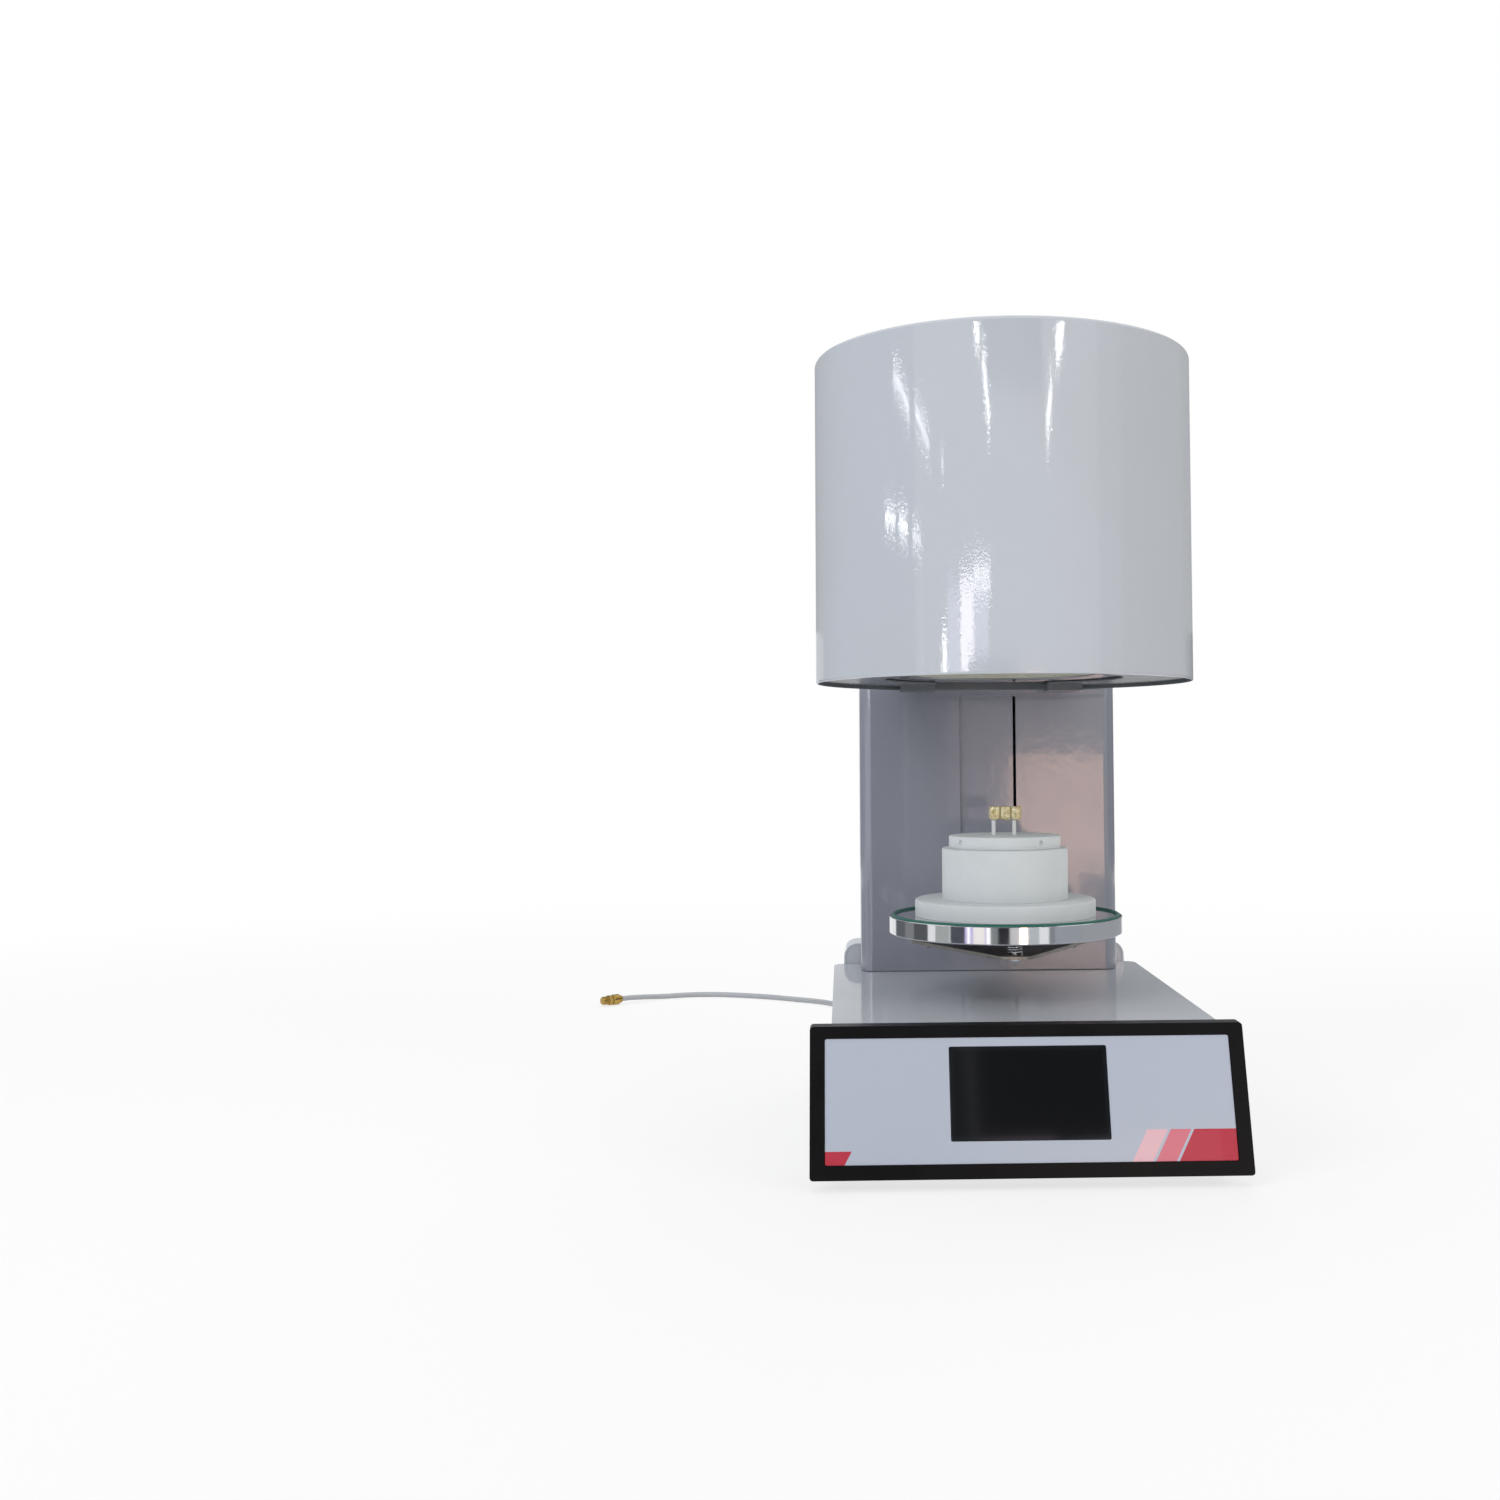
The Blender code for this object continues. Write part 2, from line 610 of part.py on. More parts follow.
def build_base(body):
    """Pan, feet, deck and the supply that stands on the pan."""
    depth = BEZEL_THICKNESS + SEAT_GAP
    side = [
        (front_plane_y(FOOT_HEIGHT, depth), FOOT_HEIGHT),
        (DECK_BACK_Y, FOOT_HEIGHT),
        (DECK_BACK_Y, DECK_Z),
        (front_plane_y(DECK_Z, depth), DECK_Z),
    ]
    shell = prism(side, DECK_WIDTH, "X", start=-DECK_WIDTH / 2)
    bevel_edges(shell, lambda a, b: a.y == b.y and a.x == b.x and a.y > 0, DECK_CORNER)
    open_side(shell, (0, 0, -1))
    open_side(shell, (0, -math.cos(BEZEL_LEAN), math.sin(BEZEL_LEAN)))
    deck = add_piece("deck_cover", shell, (0, 0, 0), "white_enamel", body)
    thicken(deck, SHEET)
    well_x = COLUMN_WIDTH / 2 - COLUMN_SHEET - DECK_WELL_MARGIN
    well_low = (-well_x, COLUMN_Y + COLUMN_SHEET, DECK_Z - SHEET - OVERRUN)
    well_high = (well_x, COLUMN_BACK_Y - COLUMN_SHEET - DECK_WELL_MARGIN, DECK_Z + OVERRUN)
    cut(deck, block(well_low, well_high), (0, 0, 0))

    pan_front = front_plane_y(FOOT_HEIGHT + PAN_WALL, depth)
    pan_back = DECK_BACK_Y - SHEET - SEAT_GAP
    pan_width = DECK_WIDTH - 2 * (SHEET + SEAT_GAP)
    pan_outline = rounded_rectangle(pan_width, pan_back - pan_front, DECK_CORNER)
    tray = prism(pan_outline, PAN_WALL)
    open_side(tray, (0, 0, 1))
    pan = add_piece("base_pan", tray, (0, (pan_front + pan_back) / 2, FOOT_HEIGHT), "zinc_sheet", body)
    thicken(pan, SHEET)

    front_feet_y = pan_front + FOOT_FRONT_INSET
    rear_feet_y = pan_back - FOOT_REAR_INSET
    for end, y in (("front", front_feet_y), ("rear", rear_feet_y)):
        for hand, way in (("left", -1), ("right", 1)):
            x = way * (DECK_WIDTH / 2 - FOOT_SIDE_INSET)
            pad = [(0, 0), (FOOT_RADIUS - FOOT_TAPER, 0), (FOOT_RADIUS, FOOT_HEIGHT - SEAT_GAP)]
            foot = turned([*pad, (0, FOOT_HEIGHT - SEAT_GAP)], FINE_STEPS)
            add_piece(f"foot_{end}_{hand}", foot, (x, y, 0), "rubber", body)

    floor_z = FOOT_HEIGHT + SHEET + SEAT_GAP
    supply_x = DECK_WIDTH / 2 - SUPPLY_SIDE_INSET - SUPPLY_SIZE[0] / 2
    supply_place = (supply_x, AXIS_Y + SUPPLY_AXIS_OFFSET, floor_z)
    supply = add_piece("power_supply", slab(SUPPLY_SIZE), supply_place, "zinc_sheet", body)
    round_edges(supply, EDGE_ROUND)


def column_outline(back_y):
    """Outer outline of the column in plan, with round front corners, down to a back line."""
    half = COLUMN_WIDTH / 2
    left = arc((COLUMN_CORNER - half, COLUMN_Y + COLUMN_CORNER), COLUMN_CORNER, math.pi, 1.5 * math.pi)
    right = arc((half - COLUMN_CORNER, COLUMN_Y + COLUMN_CORNER), COLUMN_CORNER, -math.pi / 2, 0)
    return [(-half, back_y), *left, *right, (half, back_y)]


def build_column(body):
    """Sheet-steel column with its slot, its back and cap in one, mast plates, rods and motor."""
    half, inner_radius = COLUMN_WIDTH / 2, COLUMN_CORNER - COLUMN_SHEET
    side_back = COLUMN_BACK_Y - COLUMN_SHEET - SEAT_GAP
    foot_z = DECK_Z + SEAT_GAP
    top_z = FOOT_HEIGHT + COLUMN_TOP - CAP_THICKNESS - SEAT_GAP
    left = (COLUMN_CORNER - half, COLUMN_Y + COLUMN_CORNER)
    right = (half - COLUMN_CORNER, COLUMN_Y + COLUMN_CORNER)
    inner = [
        (half - COLUMN_SHEET, side_back),
        *arc(right, inner_radius, 0, -math.pi / 2),
        *arc(left, inner_radius, 1.5 * math.pi, math.pi),
        (COLUMN_SHEET - half, side_back),
    ]
    channel = prism([*column_outline(side_back), *inner], top_z - foot_z, start=foot_z)
    front = add_piece("column_front", channel, (0, 0, 0), "grey_enamel", body)
    slot_z = LEVEL_PLATE_Z - SEAT_GAP - ARM_ROOT_HEIGHT - SLOT_END_PLAY
    slot_low = (-SLOT_WIDTH / 2, COLUMN_Y - OVERRUN, slot_z)
    slot_high = (SLOT_WIDTH / 2, COLUMN_Y + COLUMN_SHEET + OVERRUN, FOOT_HEIGHT + SLOT_TOP)
    cut(front, block(slot_low, slot_high), (0, 0, 0))

    panel_top = top_z + SEAT_GAP + CAP_THICKNESS / 2
    panel = block((-half, COLUMN_BACK_Y - COLUMN_SHEET, foot_z), (half, COLUMN_BACK_Y, panel_top))
    back = add_piece("column_back", panel, (0, 0, 0), "grey_enamel", body)
    fuse(back, prism(column_outline(COLUMN_BACK_Y), CAP_THICKNESS, start=top_z + SEAT_GAP), (0, 0, 0))

    plate_top = DECK_Z - SHEET - SEAT_GAP
    plate_low = (-MAST_BOTTOM_WIDTH / 2, COLUMN_Y - MAST_LIP, plate_top - MAST_PLATE_THICKNESS)
    plate_high = (MAST_BOTTOM_WIDTH / 2, DECK_BACK_Y - SHEET - SEAT_GAP, plate_top)
    lower = add_piece("mast_foot_plate", block(plate_low, plate_high), (0, 0, 0), "steel", body)
    roof_x = half - COLUMN_SHEET - SEAT_GAP
    roof_z = top_z - MAST_TOP_DROP
    roof_low = (-roof_x, COLUMN_Y + COLUMN_SHEET + SEAT_GAP, roof_z)
    roof_high = (roof_x, COLUMN_BACK_Y - COLUMN_SHEET - SEAT_GAP, roof_z + MAST_PLATE_THICKNESS)
    upper_shape = block(roof_low, roof_high)
    bevel_edges(upper_shape, lambda a, b: a.z != b.z and a.y < MAST_Y, inner_radius, ARC_STEPS // 2)
    upper = add_piece("mast_head_plate", upper_shape, (0, 0, 0), "steel", body)
    rod_low, rod_high = plate_low[2], roof_z + MAST_PLATE_THICKNESS
    reach = MAST_PLATE_THICKNESS + 2 * OVERRUN
    for hand, way in (("left", -1), ("right", 1)):
        x = way * ROD_SPREAD
        rod = cylinder(ROD_RADIUS, rod_high - rod_low, 0, FINE_STEPS)
        add_piece(f"guide_rod_{hand}", rod, (x, MAST_Y, rod_low), "steel", body)
        for plate, z in ((lower, plate_low[2]), (upper, roof_z)):
            cut(plate, cylinder(ROD_RADIUS + SEAT_GAP, reach, 0, FINE_STEPS), (x, MAST_Y, z - OVERRUN))
    cut(lower, cylinder(COUPLER_RADIUS / 2, reach, 0, FINE_STEPS), (0, MAST_Y, plate_low[2] - OVERRUN))
    cover_y = COLUMN_Y + COLUMN_SHEET
    slit_low = (-COVER_LEFT - COVER_SIDE_PLAY, plate_low[1] - OVERRUN, plate_low[2] - OVERRUN)
    slit_high = (COVER_RIGHT + COVER_SIDE_PLAY, cover_y + COVER_THICKNESS + 2 * RUNNING_GAP + EDGE_ROUND)
    cut(lower, block(slit_low, (*slit_high, plate_top + OVERRUN)), (0, 0, 0))

    cut(upper, cylinder(JOURNAL_RADIUS + RUNNING_GAP, reach, 0, FINE_STEPS), (0, MAST_Y, roof_z - OVERRUN))

    motor_top = plate_low[2] - SEAT_GAP
    can = prism(rounded_rectangle(MOTOR_SIDE, MOTOR_SIDE, MOTOR_CORNER), MOTOR_HEIGHT)
    motor = add_piece("lift_motor", can, (0, MAST_Y, motor_top - MOTOR_HEIGHT), "black_nylon", body)
    bore = cylinder(MOTOR_SHAFT_RADIUS + SEAT_GAP, MOTOR_SHAFT_SINK + OVERRUN, 0, FINE_STEPS)
    cut(motor, bore, (0, MAST_Y, motor_top - MOTOR_SHAFT_SINK))


def build_screw(body):
    """Lead screw and coupler, which turn together: the screw's lower journal sits in the motor."""
    plate_top = DECK_Z - SHEET - SEAT_GAP
    motor_top = plate_top - MAST_PLATE_THICKNESS - SEAT_GAP
    foot_z = motor_top - MOTOR_SHAFT_SINK + SEAT_GAP
    coupler_z = plate_top + RUNNING_GAP
    sleeve = cylinder(COUPLER_RADIUS, COUPLER_HEIGHT, EDGE_ROUND, FINE_STEPS, MOTOR_SHAFT_RADIUS + SEAT_GAP)
    add_piece("screw_coupler", sleeve, (0, MAST_Y, coupler_z), "machined_aluminium", body)
    column_top_z = FOOT_HEIGHT + COLUMN_TOP - CAP_THICKNESS - SEAT_GAP
    roof_z = column_top_z - MAST_TOP_DROP
    thread_foot = coupler_z + COUPLER_HEIGHT + RUNNING_GAP - foot_z
    thread_top = roof_z - RUNNING_GAP - foot_z
    journal_top = thread_top + RUNNING_GAP + MAST_PLATE_THICKNESS
    profile = [
        (0, 0),
        (MOTOR_SHAFT_RADIUS, 0),
        (MOTOR_SHAFT_RADIUS, thread_foot),
        (SCREW_RADIUS, thread_foot),
        (SCREW_RADIUS, thread_top),
        (JOURNAL_RADIUS, thread_top),
        (JOURNAL_RADIUS, journal_top),
        (0, journal_top),
    ]
    add_piece("lead_screw", turned(profile, FINE_STEPS), (0, MAST_Y, foot_z), "steel", body)


def level_places():
    """Plan places of the three levelling screws, the first one at the front."""
    return [(x, AXIS_Y + y) for x, y in arc((0, 0), LEVEL_SCREW_REACH, -math.pi / 2, 1.5 * math.pi, 3)[:3]]


def build_carriage(body):
    """Carriage on its rods, nut, arm, cover strip and the triangular plate."""
    seat = (0, MAST_Y, CARRIAGE_Z)
    block_shape = slab((CARRIAGE_WIDTH, CARRIAGE_DEPTH, CARRIAGE_HEIGHT))
    carriage = add_piece("lift_carriage", block_shape, seat, "machined_aluminium", body)
    round_edges(carriage, EDGE_ROUND, 1)
    reach = CARRIAGE_HEIGHT + 2 * OVERRUN
    for x in (-ROD_SPREAD, ROD_SPREAD):
        cut(carriage, cylinder(ROD_RADIUS + RUNNING_GAP, reach, 0, FINE_STEPS), (x, MAST_Y, CARRIAGE_Z - OVERRUN))
    cut(carriage, cylinder(NUT_RADIUS + SEAT_GAP, reach, 0, FINE_STEPS), (0, MAST_Y, CARRIAGE_Z - OVERRUN))
    bore = SCREW_RADIUS + RUNNING_GAP
    top = CARRIAGE_HEIGHT + SEAT_GAP
    nut_profile = [
        (NUT_RADIUS, 0),
        (NUT_RADIUS, top),
        (NUT_FLANGE_RADIUS, top),
        (NUT_FLANGE_RADIUS, top + NUT_FLANGE_THICKNESS),
        (bore, top + NUT_FLANGE_THICKNESS),
        (bore, 0),
    ]
    add_piece("screw_nut", turned(nut_profile, FINE_STEPS), seat, "brass", body)

    arm_top = LEVEL_PLATE_Z - SEAT_GAP
    root_y = MAST_Y - CARRIAGE_DEPTH / 2 - SEAT_GAP
    tip_y, knee_y = AXIS_Y - ARM_TIP_REACH, COLUMN_Y - ARM_TIP_HEIGHT
    side = [
        (tip_y, arm_top - ARM_TIP_HEIGHT),
        (knee_y, arm_top - ARM_ROOT_HEIGHT),
        (root_y, arm_top - ARM_ROOT_HEIGHT),
        (root_y, arm_top),
        (tip_y, arm_top),
    ]
    arm = prism(side, ARM_WIDTH, "X", start=-ARM_WIDTH / 2)
    beam = add_piece("lift_arm", arm, (0, 0, 0), "machined_aluminium", body)
    round_edges(beam, EDGE_ROUND, 1)

    cover_y = COLUMN_Y + COLUMN_SHEET + RUNNING_GAP
    strip_low = (-COVER_LEFT, cover_y, FOOT_HEIGHT + COVER_BOTTOM)
    strip_high = (COVER_RIGHT, cover_y + COVER_THICKNESS, FOOT_HEIGHT + COVER_TOP)
    strip = add_piece("slot_cover", block(strip_low, strip_high), (0, 0, 0), "grey_enamel", body)
    pass_x = ARM_WIDTH / 2 + SEAT_GAP
    pass_low = (-pass_x, cover_y - OVERRUN, arm_top - ARM_ROOT_HEIGHT - SEAT_GAP)
    cut(strip, block(pass_low, (pass_x, cover_y + COVER_THICKNESS + OVERRUN, arm_top + SEAT_GAP)), (0, 0, 0))

    corners = []
    for turn in (-math.pi / 2, math.pi / 6, 5 * math.pi / 6):
        out, across = Vector((math.cos(turn), math.sin(turn))), Vector((-math.sin(turn), math.cos(turn)))
        corners += [out * LEVEL_PLATE_REACH + across * way * LEVEL_PLATE_TIP / 2 for way in (-1, 1)]
    triangle = prism([(corner.x, corner.y) for corner in corners], LEVEL_PLATE_THICKNESS)
    plate = add_piece("levelling_plate", triangle, (0, AXIS_Y, LEVEL_PLATE_Z), "steel", body)
    hole = LEVEL_SCREW_RADIUS + RUNNING_GAP
    for place in level_places():
        drill = cylinder(hole, LEVEL_PLATE_THICKNESS + 2 * OVERRUN, 0, FINE_STEPS)
        cut(plate, drill, (*place, LEVEL_PLATE_Z - OVERRUN))


def spring_points(place):
    """Helix of one levelling spring, with a straight wire's width at each end."""
    low = LEVEL_PLATE_Z + LEVEL_PLATE_THICKNESS + SEAT_GAP
    high = PLATFORM_BOTTOM_Z - SEAT_GAP
    coil_low, coil_high = low + SPRING_WIRE, high - SPRING_WIRE
    count = SPRING_CURLS * SPRING_POINTS
    points = [(place[0] + SPRING_RADIUS, place[1], low)]
    for i in range(count + 1):
        turn = math.tau * i / SPRING_POINTS
        x, y = place[0] + SPRING_RADIUS * math.cos(turn), place[1] + SPRING_RADIUS * math.sin(turn)
        points.append((x, y, coil_low + (coil_high - coil_low) * i / count))
    points.append((points[-1][0], points[-1][1], high))
    return points


def build_springs(body):
    """The three compression springs between the triangular plate and the platform."""
    for name, place in zip(LEVEL_NAMES, level_places()):
        points = spring_points(place)
        tube(f"levelling_spring_{name}", points, SPRING_WIRE, "spring_steel", body, 1)
    gap = least_gap(points, SPRING_WIRE, SPRING_POINTS // 2)
    print(f"least gap of a levelling spring to itself: {gap * 1000:.2f} mm")


def build_platform(body):
    """Round platform with its seal, screws and the ceramic stack."""
    edge, cord = PLATFORM_EDGE, SEAL_CORD / 2 + SEAT_GAP
    floor = PLATFORM_THICKNESS - SEAL_CORD + SEAL_PROUD - SEAT_GAP
    profile = [
        (0, 0),
        (PLATFORM_RADIUS - edge, 0),
        (PLATFORM_RADIUS, edge),
        (PLATFORM_RADIUS, PLATFORM_THICKNESS - edge / 2),
        (PLATFORM_RADIUS - edge / 2, PLATFORM_THICKNESS),
        (SEAL_RING_RADIUS + cord, PLATFORM_THICKNESS),
        (SEAL_RING_RADIUS + cord, floor),
        (SEAL_RING_RADIUS - cord, floor),
        (SEAL_RING_RADIUS - cord, PLATFORM_THICKNESS),
        (0, PLATFORM_THICKNESS),
    ]
    disc = turned(profile)
    platform = add_piece("lift_platform", disc, (0, AXIS_Y, PLATFORM_BOTTOM_Z), "machined_aluminium", body)
    ring = turned(arc((SEAL_RING_RADIUS, 0), SEAL_CORD / 2, 0, -math.tau, ARC_STEPS)[:-1])
    ring_z = PLATFORM_TOP_Z + SEAL_PROUD - SEAL_CORD / 2
    add_piece("platform_seal", ring, (0, AXIS_Y, ring_z), "teal_silicone", body)
    head_z = LEVEL_PLATE_Z - SEAT_GAP - LEVEL_HEAD_HEIGHT
    shank_top = PLATFORM_BOTTOM_Z + LEVEL_SCREW_BITE - SEAT_GAP - head_z
    screw_profile = [
        (0, 0),
        (LEVEL_HEAD_RADIUS / 2, 0),
        (LEVEL_HEAD_RADIUS, LEVEL_HEAD_HEIGHT / 2),
        (LEVEL_HEAD_RADIUS, LEVEL_HEAD_HEIGHT),
        (LEVEL_SCREW_RADIUS, LEVEL_HEAD_HEIGHT),
        (LEVEL_SCREW_RADIUS, shank_top),
        (0, shank_top),
    ]
    for name, place in zip(LEVEL_NAMES, level_places()):
        add_piece(f"levelling_screw_{name}", turned(screw_profile, FINE_STEPS), (*place, head_z), "steel", body)
        drill = cylinder(LEVEL_SCREW_RADIUS + SEAT_GAP, LEVEL_SCREW_BITE + OVERRUN, 0, FINE_STEPS)
        cut(platform, drill, (*place, PLATFORM_BOTTOM_Z - OVERRUN))

    disc = cylinder(BASE_DISC_RADIUS, BASE_DISC_HEIGHT, CERAMIC_EDGE)
    add_piece("ceramic_base_disc", disc, (0, AXIS_Y, BASE_DISC_Z), "ceramic_fibre", body)
    plug = cylinder(PLUG_RADIUS, PLUG_HEIGHT, CERAMIC_EDGE)
    add_piece("insulation_plug", plug, (0, AXIS_Y, PLUG_Z), "ceramic_fibre", body)


def build_tray(body):
    """Firing tray with its dimples and the two pins."""
    edge = CERAMIC_EDGE / 2
    disc = cylinder(TRAY_RADIUS, TRAY_HEIGHT, edge)
    tray = add_piece("firing_tray", disc, (0, AXIS_Y, TRAY_Z), "ceramic_fibre", body)
    for number in range(TRAY_DIMPLES):
        turn = TRAY_DIMPLE_TURN + math.tau * number / TRAY_DIMPLES
        drill = lie_along_y(cylinder(TRAY_DIMPLE_RADIUS, TRAY_DIMPLE_DEPTH + OVERRUN, 0, FINE_STEPS // 2))
        start = TRAY_RADIUS - TRAY_DIMPLE_DEPTH
        place = (start * math.sin(turn), AXIS_Y - start * math.cos(turn), TRAY_Z + TRAY_HEIGHT / 2)
        cut(tray, drill, place, (0, 0, math.pi + turn))
    for hand, x in (("left", PIN_LEFT), ("right", PIN_RIGHT)):
        pin = cylinder(PIN_RADIUS, PIN_HEIGHT, PIN_RADIUS / 4, FINE_STEPS)
        add_piece(f"firing_pin_{hand}", pin, (x, AXIS_Y, PIN_Z), "alumina", body)
        socket = cylinder(PIN_RADIUS + SEAT_GAP, PIN_SINK + OVERRUN, 0, FINE_STEPS)
        cut(tray, socket, (x, AXIS_Y, PIN_Z - SEAT_GAP))


def build_bridge(body):
    """The three-unit sample bridge that stands on the pins."""
    lobe = CROWN_WIDTH * CROWN_OVERLAP_SHARE
    count = ARC_STEPS * 3
    reach = CROWN_WIDTH + lobe
    xs = [-reach * math.cos(math.pi * i / count) for i in range(count + 1)]
    halves = []
    for x in xs:
        best = max(1 - ((x - way * CROWN_WIDTH) / lobe) ** 2 for way in (-1, 0, 1))
        halves.append(CROWN_DEPTH / 2 * math.sqrt(max(best, 0)))
    outline = [(x, -y) for x, y in zip(xs, halves)] + [(x, y) for x, y in list(zip(xs, halves))[-2:0:-1]]
    x = (PIN_LEFT + PIN_RIGHT) / 2 + CROWN_OFFSET
    bridge = add_piece("sample_bridge", prism(outline, CROWN_HEIGHT), (x, AXIS_Y, CROWN_Z), "zirconia", body)
    round_edges(bridge, CROWN_ROUND, 2)
    for pin_x in (PIN_LEFT, PIN_RIGHT):
        hole = cylinder(PIN_RADIUS + RUNNING_GAP, PIN_BITE + SEAT_GAP + OVERRUN, 0, FINE_STEPS)
        cut(bridge, hole, (pin_x, AXIS_Y, CROWN_Z - OVERRUN))


def head_outline(radius, flat_y):
    """Round outline about the lift axis with its back cut flat, in plan."""
    flat = math.asin(flat_y / radius)
    return arc((0, 0), radius, flat, -math.pi - flat, ROUND_STEPS)


def build_head(body):
    """Head shell, its bottom plate, the sealing flange and the muffle in its can."""
    flat = COLUMN_Y - SEAT_GAP - AXIS_Y
    shell = prism(head_outline(HEAD_RADIUS, flat), HEAD_TOP - HEAD_BOTTOM)
    top = HEAD_TOP - HEAD_BOTTOM
    bevel_edges(shell, lambda a, b: min(a.z, b.z) > top - OVERRUN, HEAD_SHOULDER, ARC_STEPS // 2)
    open_side(shell, (0, 0, -1))
    head = add_piece("head_shell", shell, (0, AXIS_Y, HEAD_Z), "white_enamel", body)
    thicken(head, HEAD_SHEET)

    inset = HEAD_SHEET + SEAT_GAP
    floor = prism(head_outline(HEAD_RADIUS - inset, flat - inset), HEAD_PLATE_THICKNESS)
    plate = add_piece("head_bottom_plate", floor, (0, AXIS_Y, HEAD_PLATE_Z), "white_enamel", body)
    reach = HEAD_PLATE_THICKNESS + 2 * OVERRUN
    cut(plate, cylinder(HEAD_OPENING_RADIUS, reach), (0, AXIS_Y, HEAD_PLATE_Z - OVERRUN))
    notch_low = (-HEAD_NOTCH_HALF, 0, 0)
    cut(plate, block(notch_low, (HEAD_NOTCH_HALF, HEAD_RADIUS, reach)), (0, AXIS_Y, HEAD_PLATE_Z - OVERRUN))
    brackets = bmesh.new()
    bracket_z = HEAD_PLATE_THICKNESS - HEAD_BRACKET_HEIGHT
    for start in (HEAD_NOTCH_HALF, -HEAD_NOTCH_HALF - HEAD_BRACKET_WIDTH):
        low = (start, HEAD_BRACKET_REACH, bracket_z)
        high = (start + HEAD_BRACKET_WIDTH, HEAD_BRACKET_REACH + HEAD_BRACKET_DEPTH, HEAD_PLATE_THICKNESS)
        block(low, high, brackets)
    fuse(plate, brackets, (0, AXIS_Y, HEAD_PLATE_Z))

    seat_radius = CAN_RADIUS - CAN_SHEET
    flange_profile = [
        (FLANGE_MOUTH_RADIUS, 0),
        (FLANGE_BORE_RADIUS, FLANGE_MOUTH_RISE),
        (FLANGE_BORE_RADIUS, FLANGE_LIP),
        (seat_radius, FLANGE_LIP),
        (seat_radius, FLANGE_THICKNESS),
        (FLANGE_RADIUS, FLANGE_THICKNESS),
        (FLANGE_RADIUS, 0),
    ]
    flange = turned(flange_profile)
    add_piece("sealing_flange", flange, (0, AXIS_Y, FLANGE_Z), "machined_aluminium", body)

    height = MUFFLE_ROOF_Z + MUFFLE_ROOF_HEIGHT + SEAT_GAP + CAN_SHEET - CAN_Z
    probe_hole = PROBE_RADIUS + SEAT_GAP
    can_profile = [
        (CAN_RADIUS, height),
        (CAN_RADIUS, 0),
        (seat_radius, 0),
        (seat_radius, height - CAN_SHEET),
        (probe_hole, height - CAN_SHEET),
        (probe_hole, height),
    ]
    add_piece("vacuum_can", turned(can_profile), (0, AXIS_Y, CAN_Z), "steel", body)

    recess_radius = BASE_DISC_RADIUS + MUFFLE_CLEARANCE
    recess = BASE_DISC_HEIGHT - SEAL_PROUD - FLANGE_LIP + MUFFLE_CLEARANCE
    bore = PLUG_RADIUS + MUFFLE_CLEARANCE
    wall_top = MUFFLE_WALL_Z + MUFFLE_WALL_HEIGHT - MUFFLE_Z
    lining_profile = [
        (recess_radius, 0),
        (recess_radius, recess),
        (bore, recess),
        (bore, MUFFLE_FLOOR_HEIGHT),
        (MUFFLE_WALL_RADIUS, MUFFLE_FLOOR_HEIGHT),
        (MUFFLE_WALL_RADIUS, wall_top),
        (MUFFLE_RADIUS, wall_top),
        (MUFFLE_RADIUS, 0),
    ]
    add_piece("muffle_lining", turned(lining_profile), (0, AXIS_Y, MUFFLE_Z), "muffle_fibre", body)
    roof = cylinder(MUFFLE_RADIUS, MUFFLE_ROOF_HEIGHT, 0, ROUND_STEPS, probe_hole)
    add_piece("muffle_roof", roof, (0, AXIS_Y, MUFFLE_ROOF_Z), "muffle_fibre", body)

    heater = cylinder(MUFFLE_WALL_RADIUS - SEAT_GAP, MUFFLE_WALL_HEIGHT, 0, ROUND_STEPS, HEATER_BORE)
    add_piece("heating_muffle", heater, (0, AXIS_Y, MUFFLE_WALL_Z), "quartz", body)

    probe_z = MUFFLE_ROOF_Z - PROBE_REACH
    can_top = CAN_Z + height + SEAT_GAP - probe_z
    probe_profile = [
        (0, 0),
        (PROBE_RADIUS, 0),
        (PROBE_RADIUS, can_top),
        (PROBE_HEAD_RADIUS, can_top),
        (PROBE_HEAD_RADIUS, can_top + PROBE_HEAD_HEIGHT),
        (0, can_top + PROBE_HEAD_HEIGHT),
    ]
    add_piece("thermocouple", turned(probe_profile, FINE_STEPS), (0, AXIS_Y, probe_z), "alumina", body)


def centred(size, start, end, middle=(0, 0)):
    """A box that reaches from start to end along Y, about a middle in X and Z."""
    x, z = middle
    low = (x - size[0] / 2, start, z - size[1] / 2)
    return block(low, (x + size[0] / 2, end, z + size[1] / 2))


def at_rear(place):
    """A place on the rear plane of the housing."""
    return (place[0], REAR_Y, place[1])


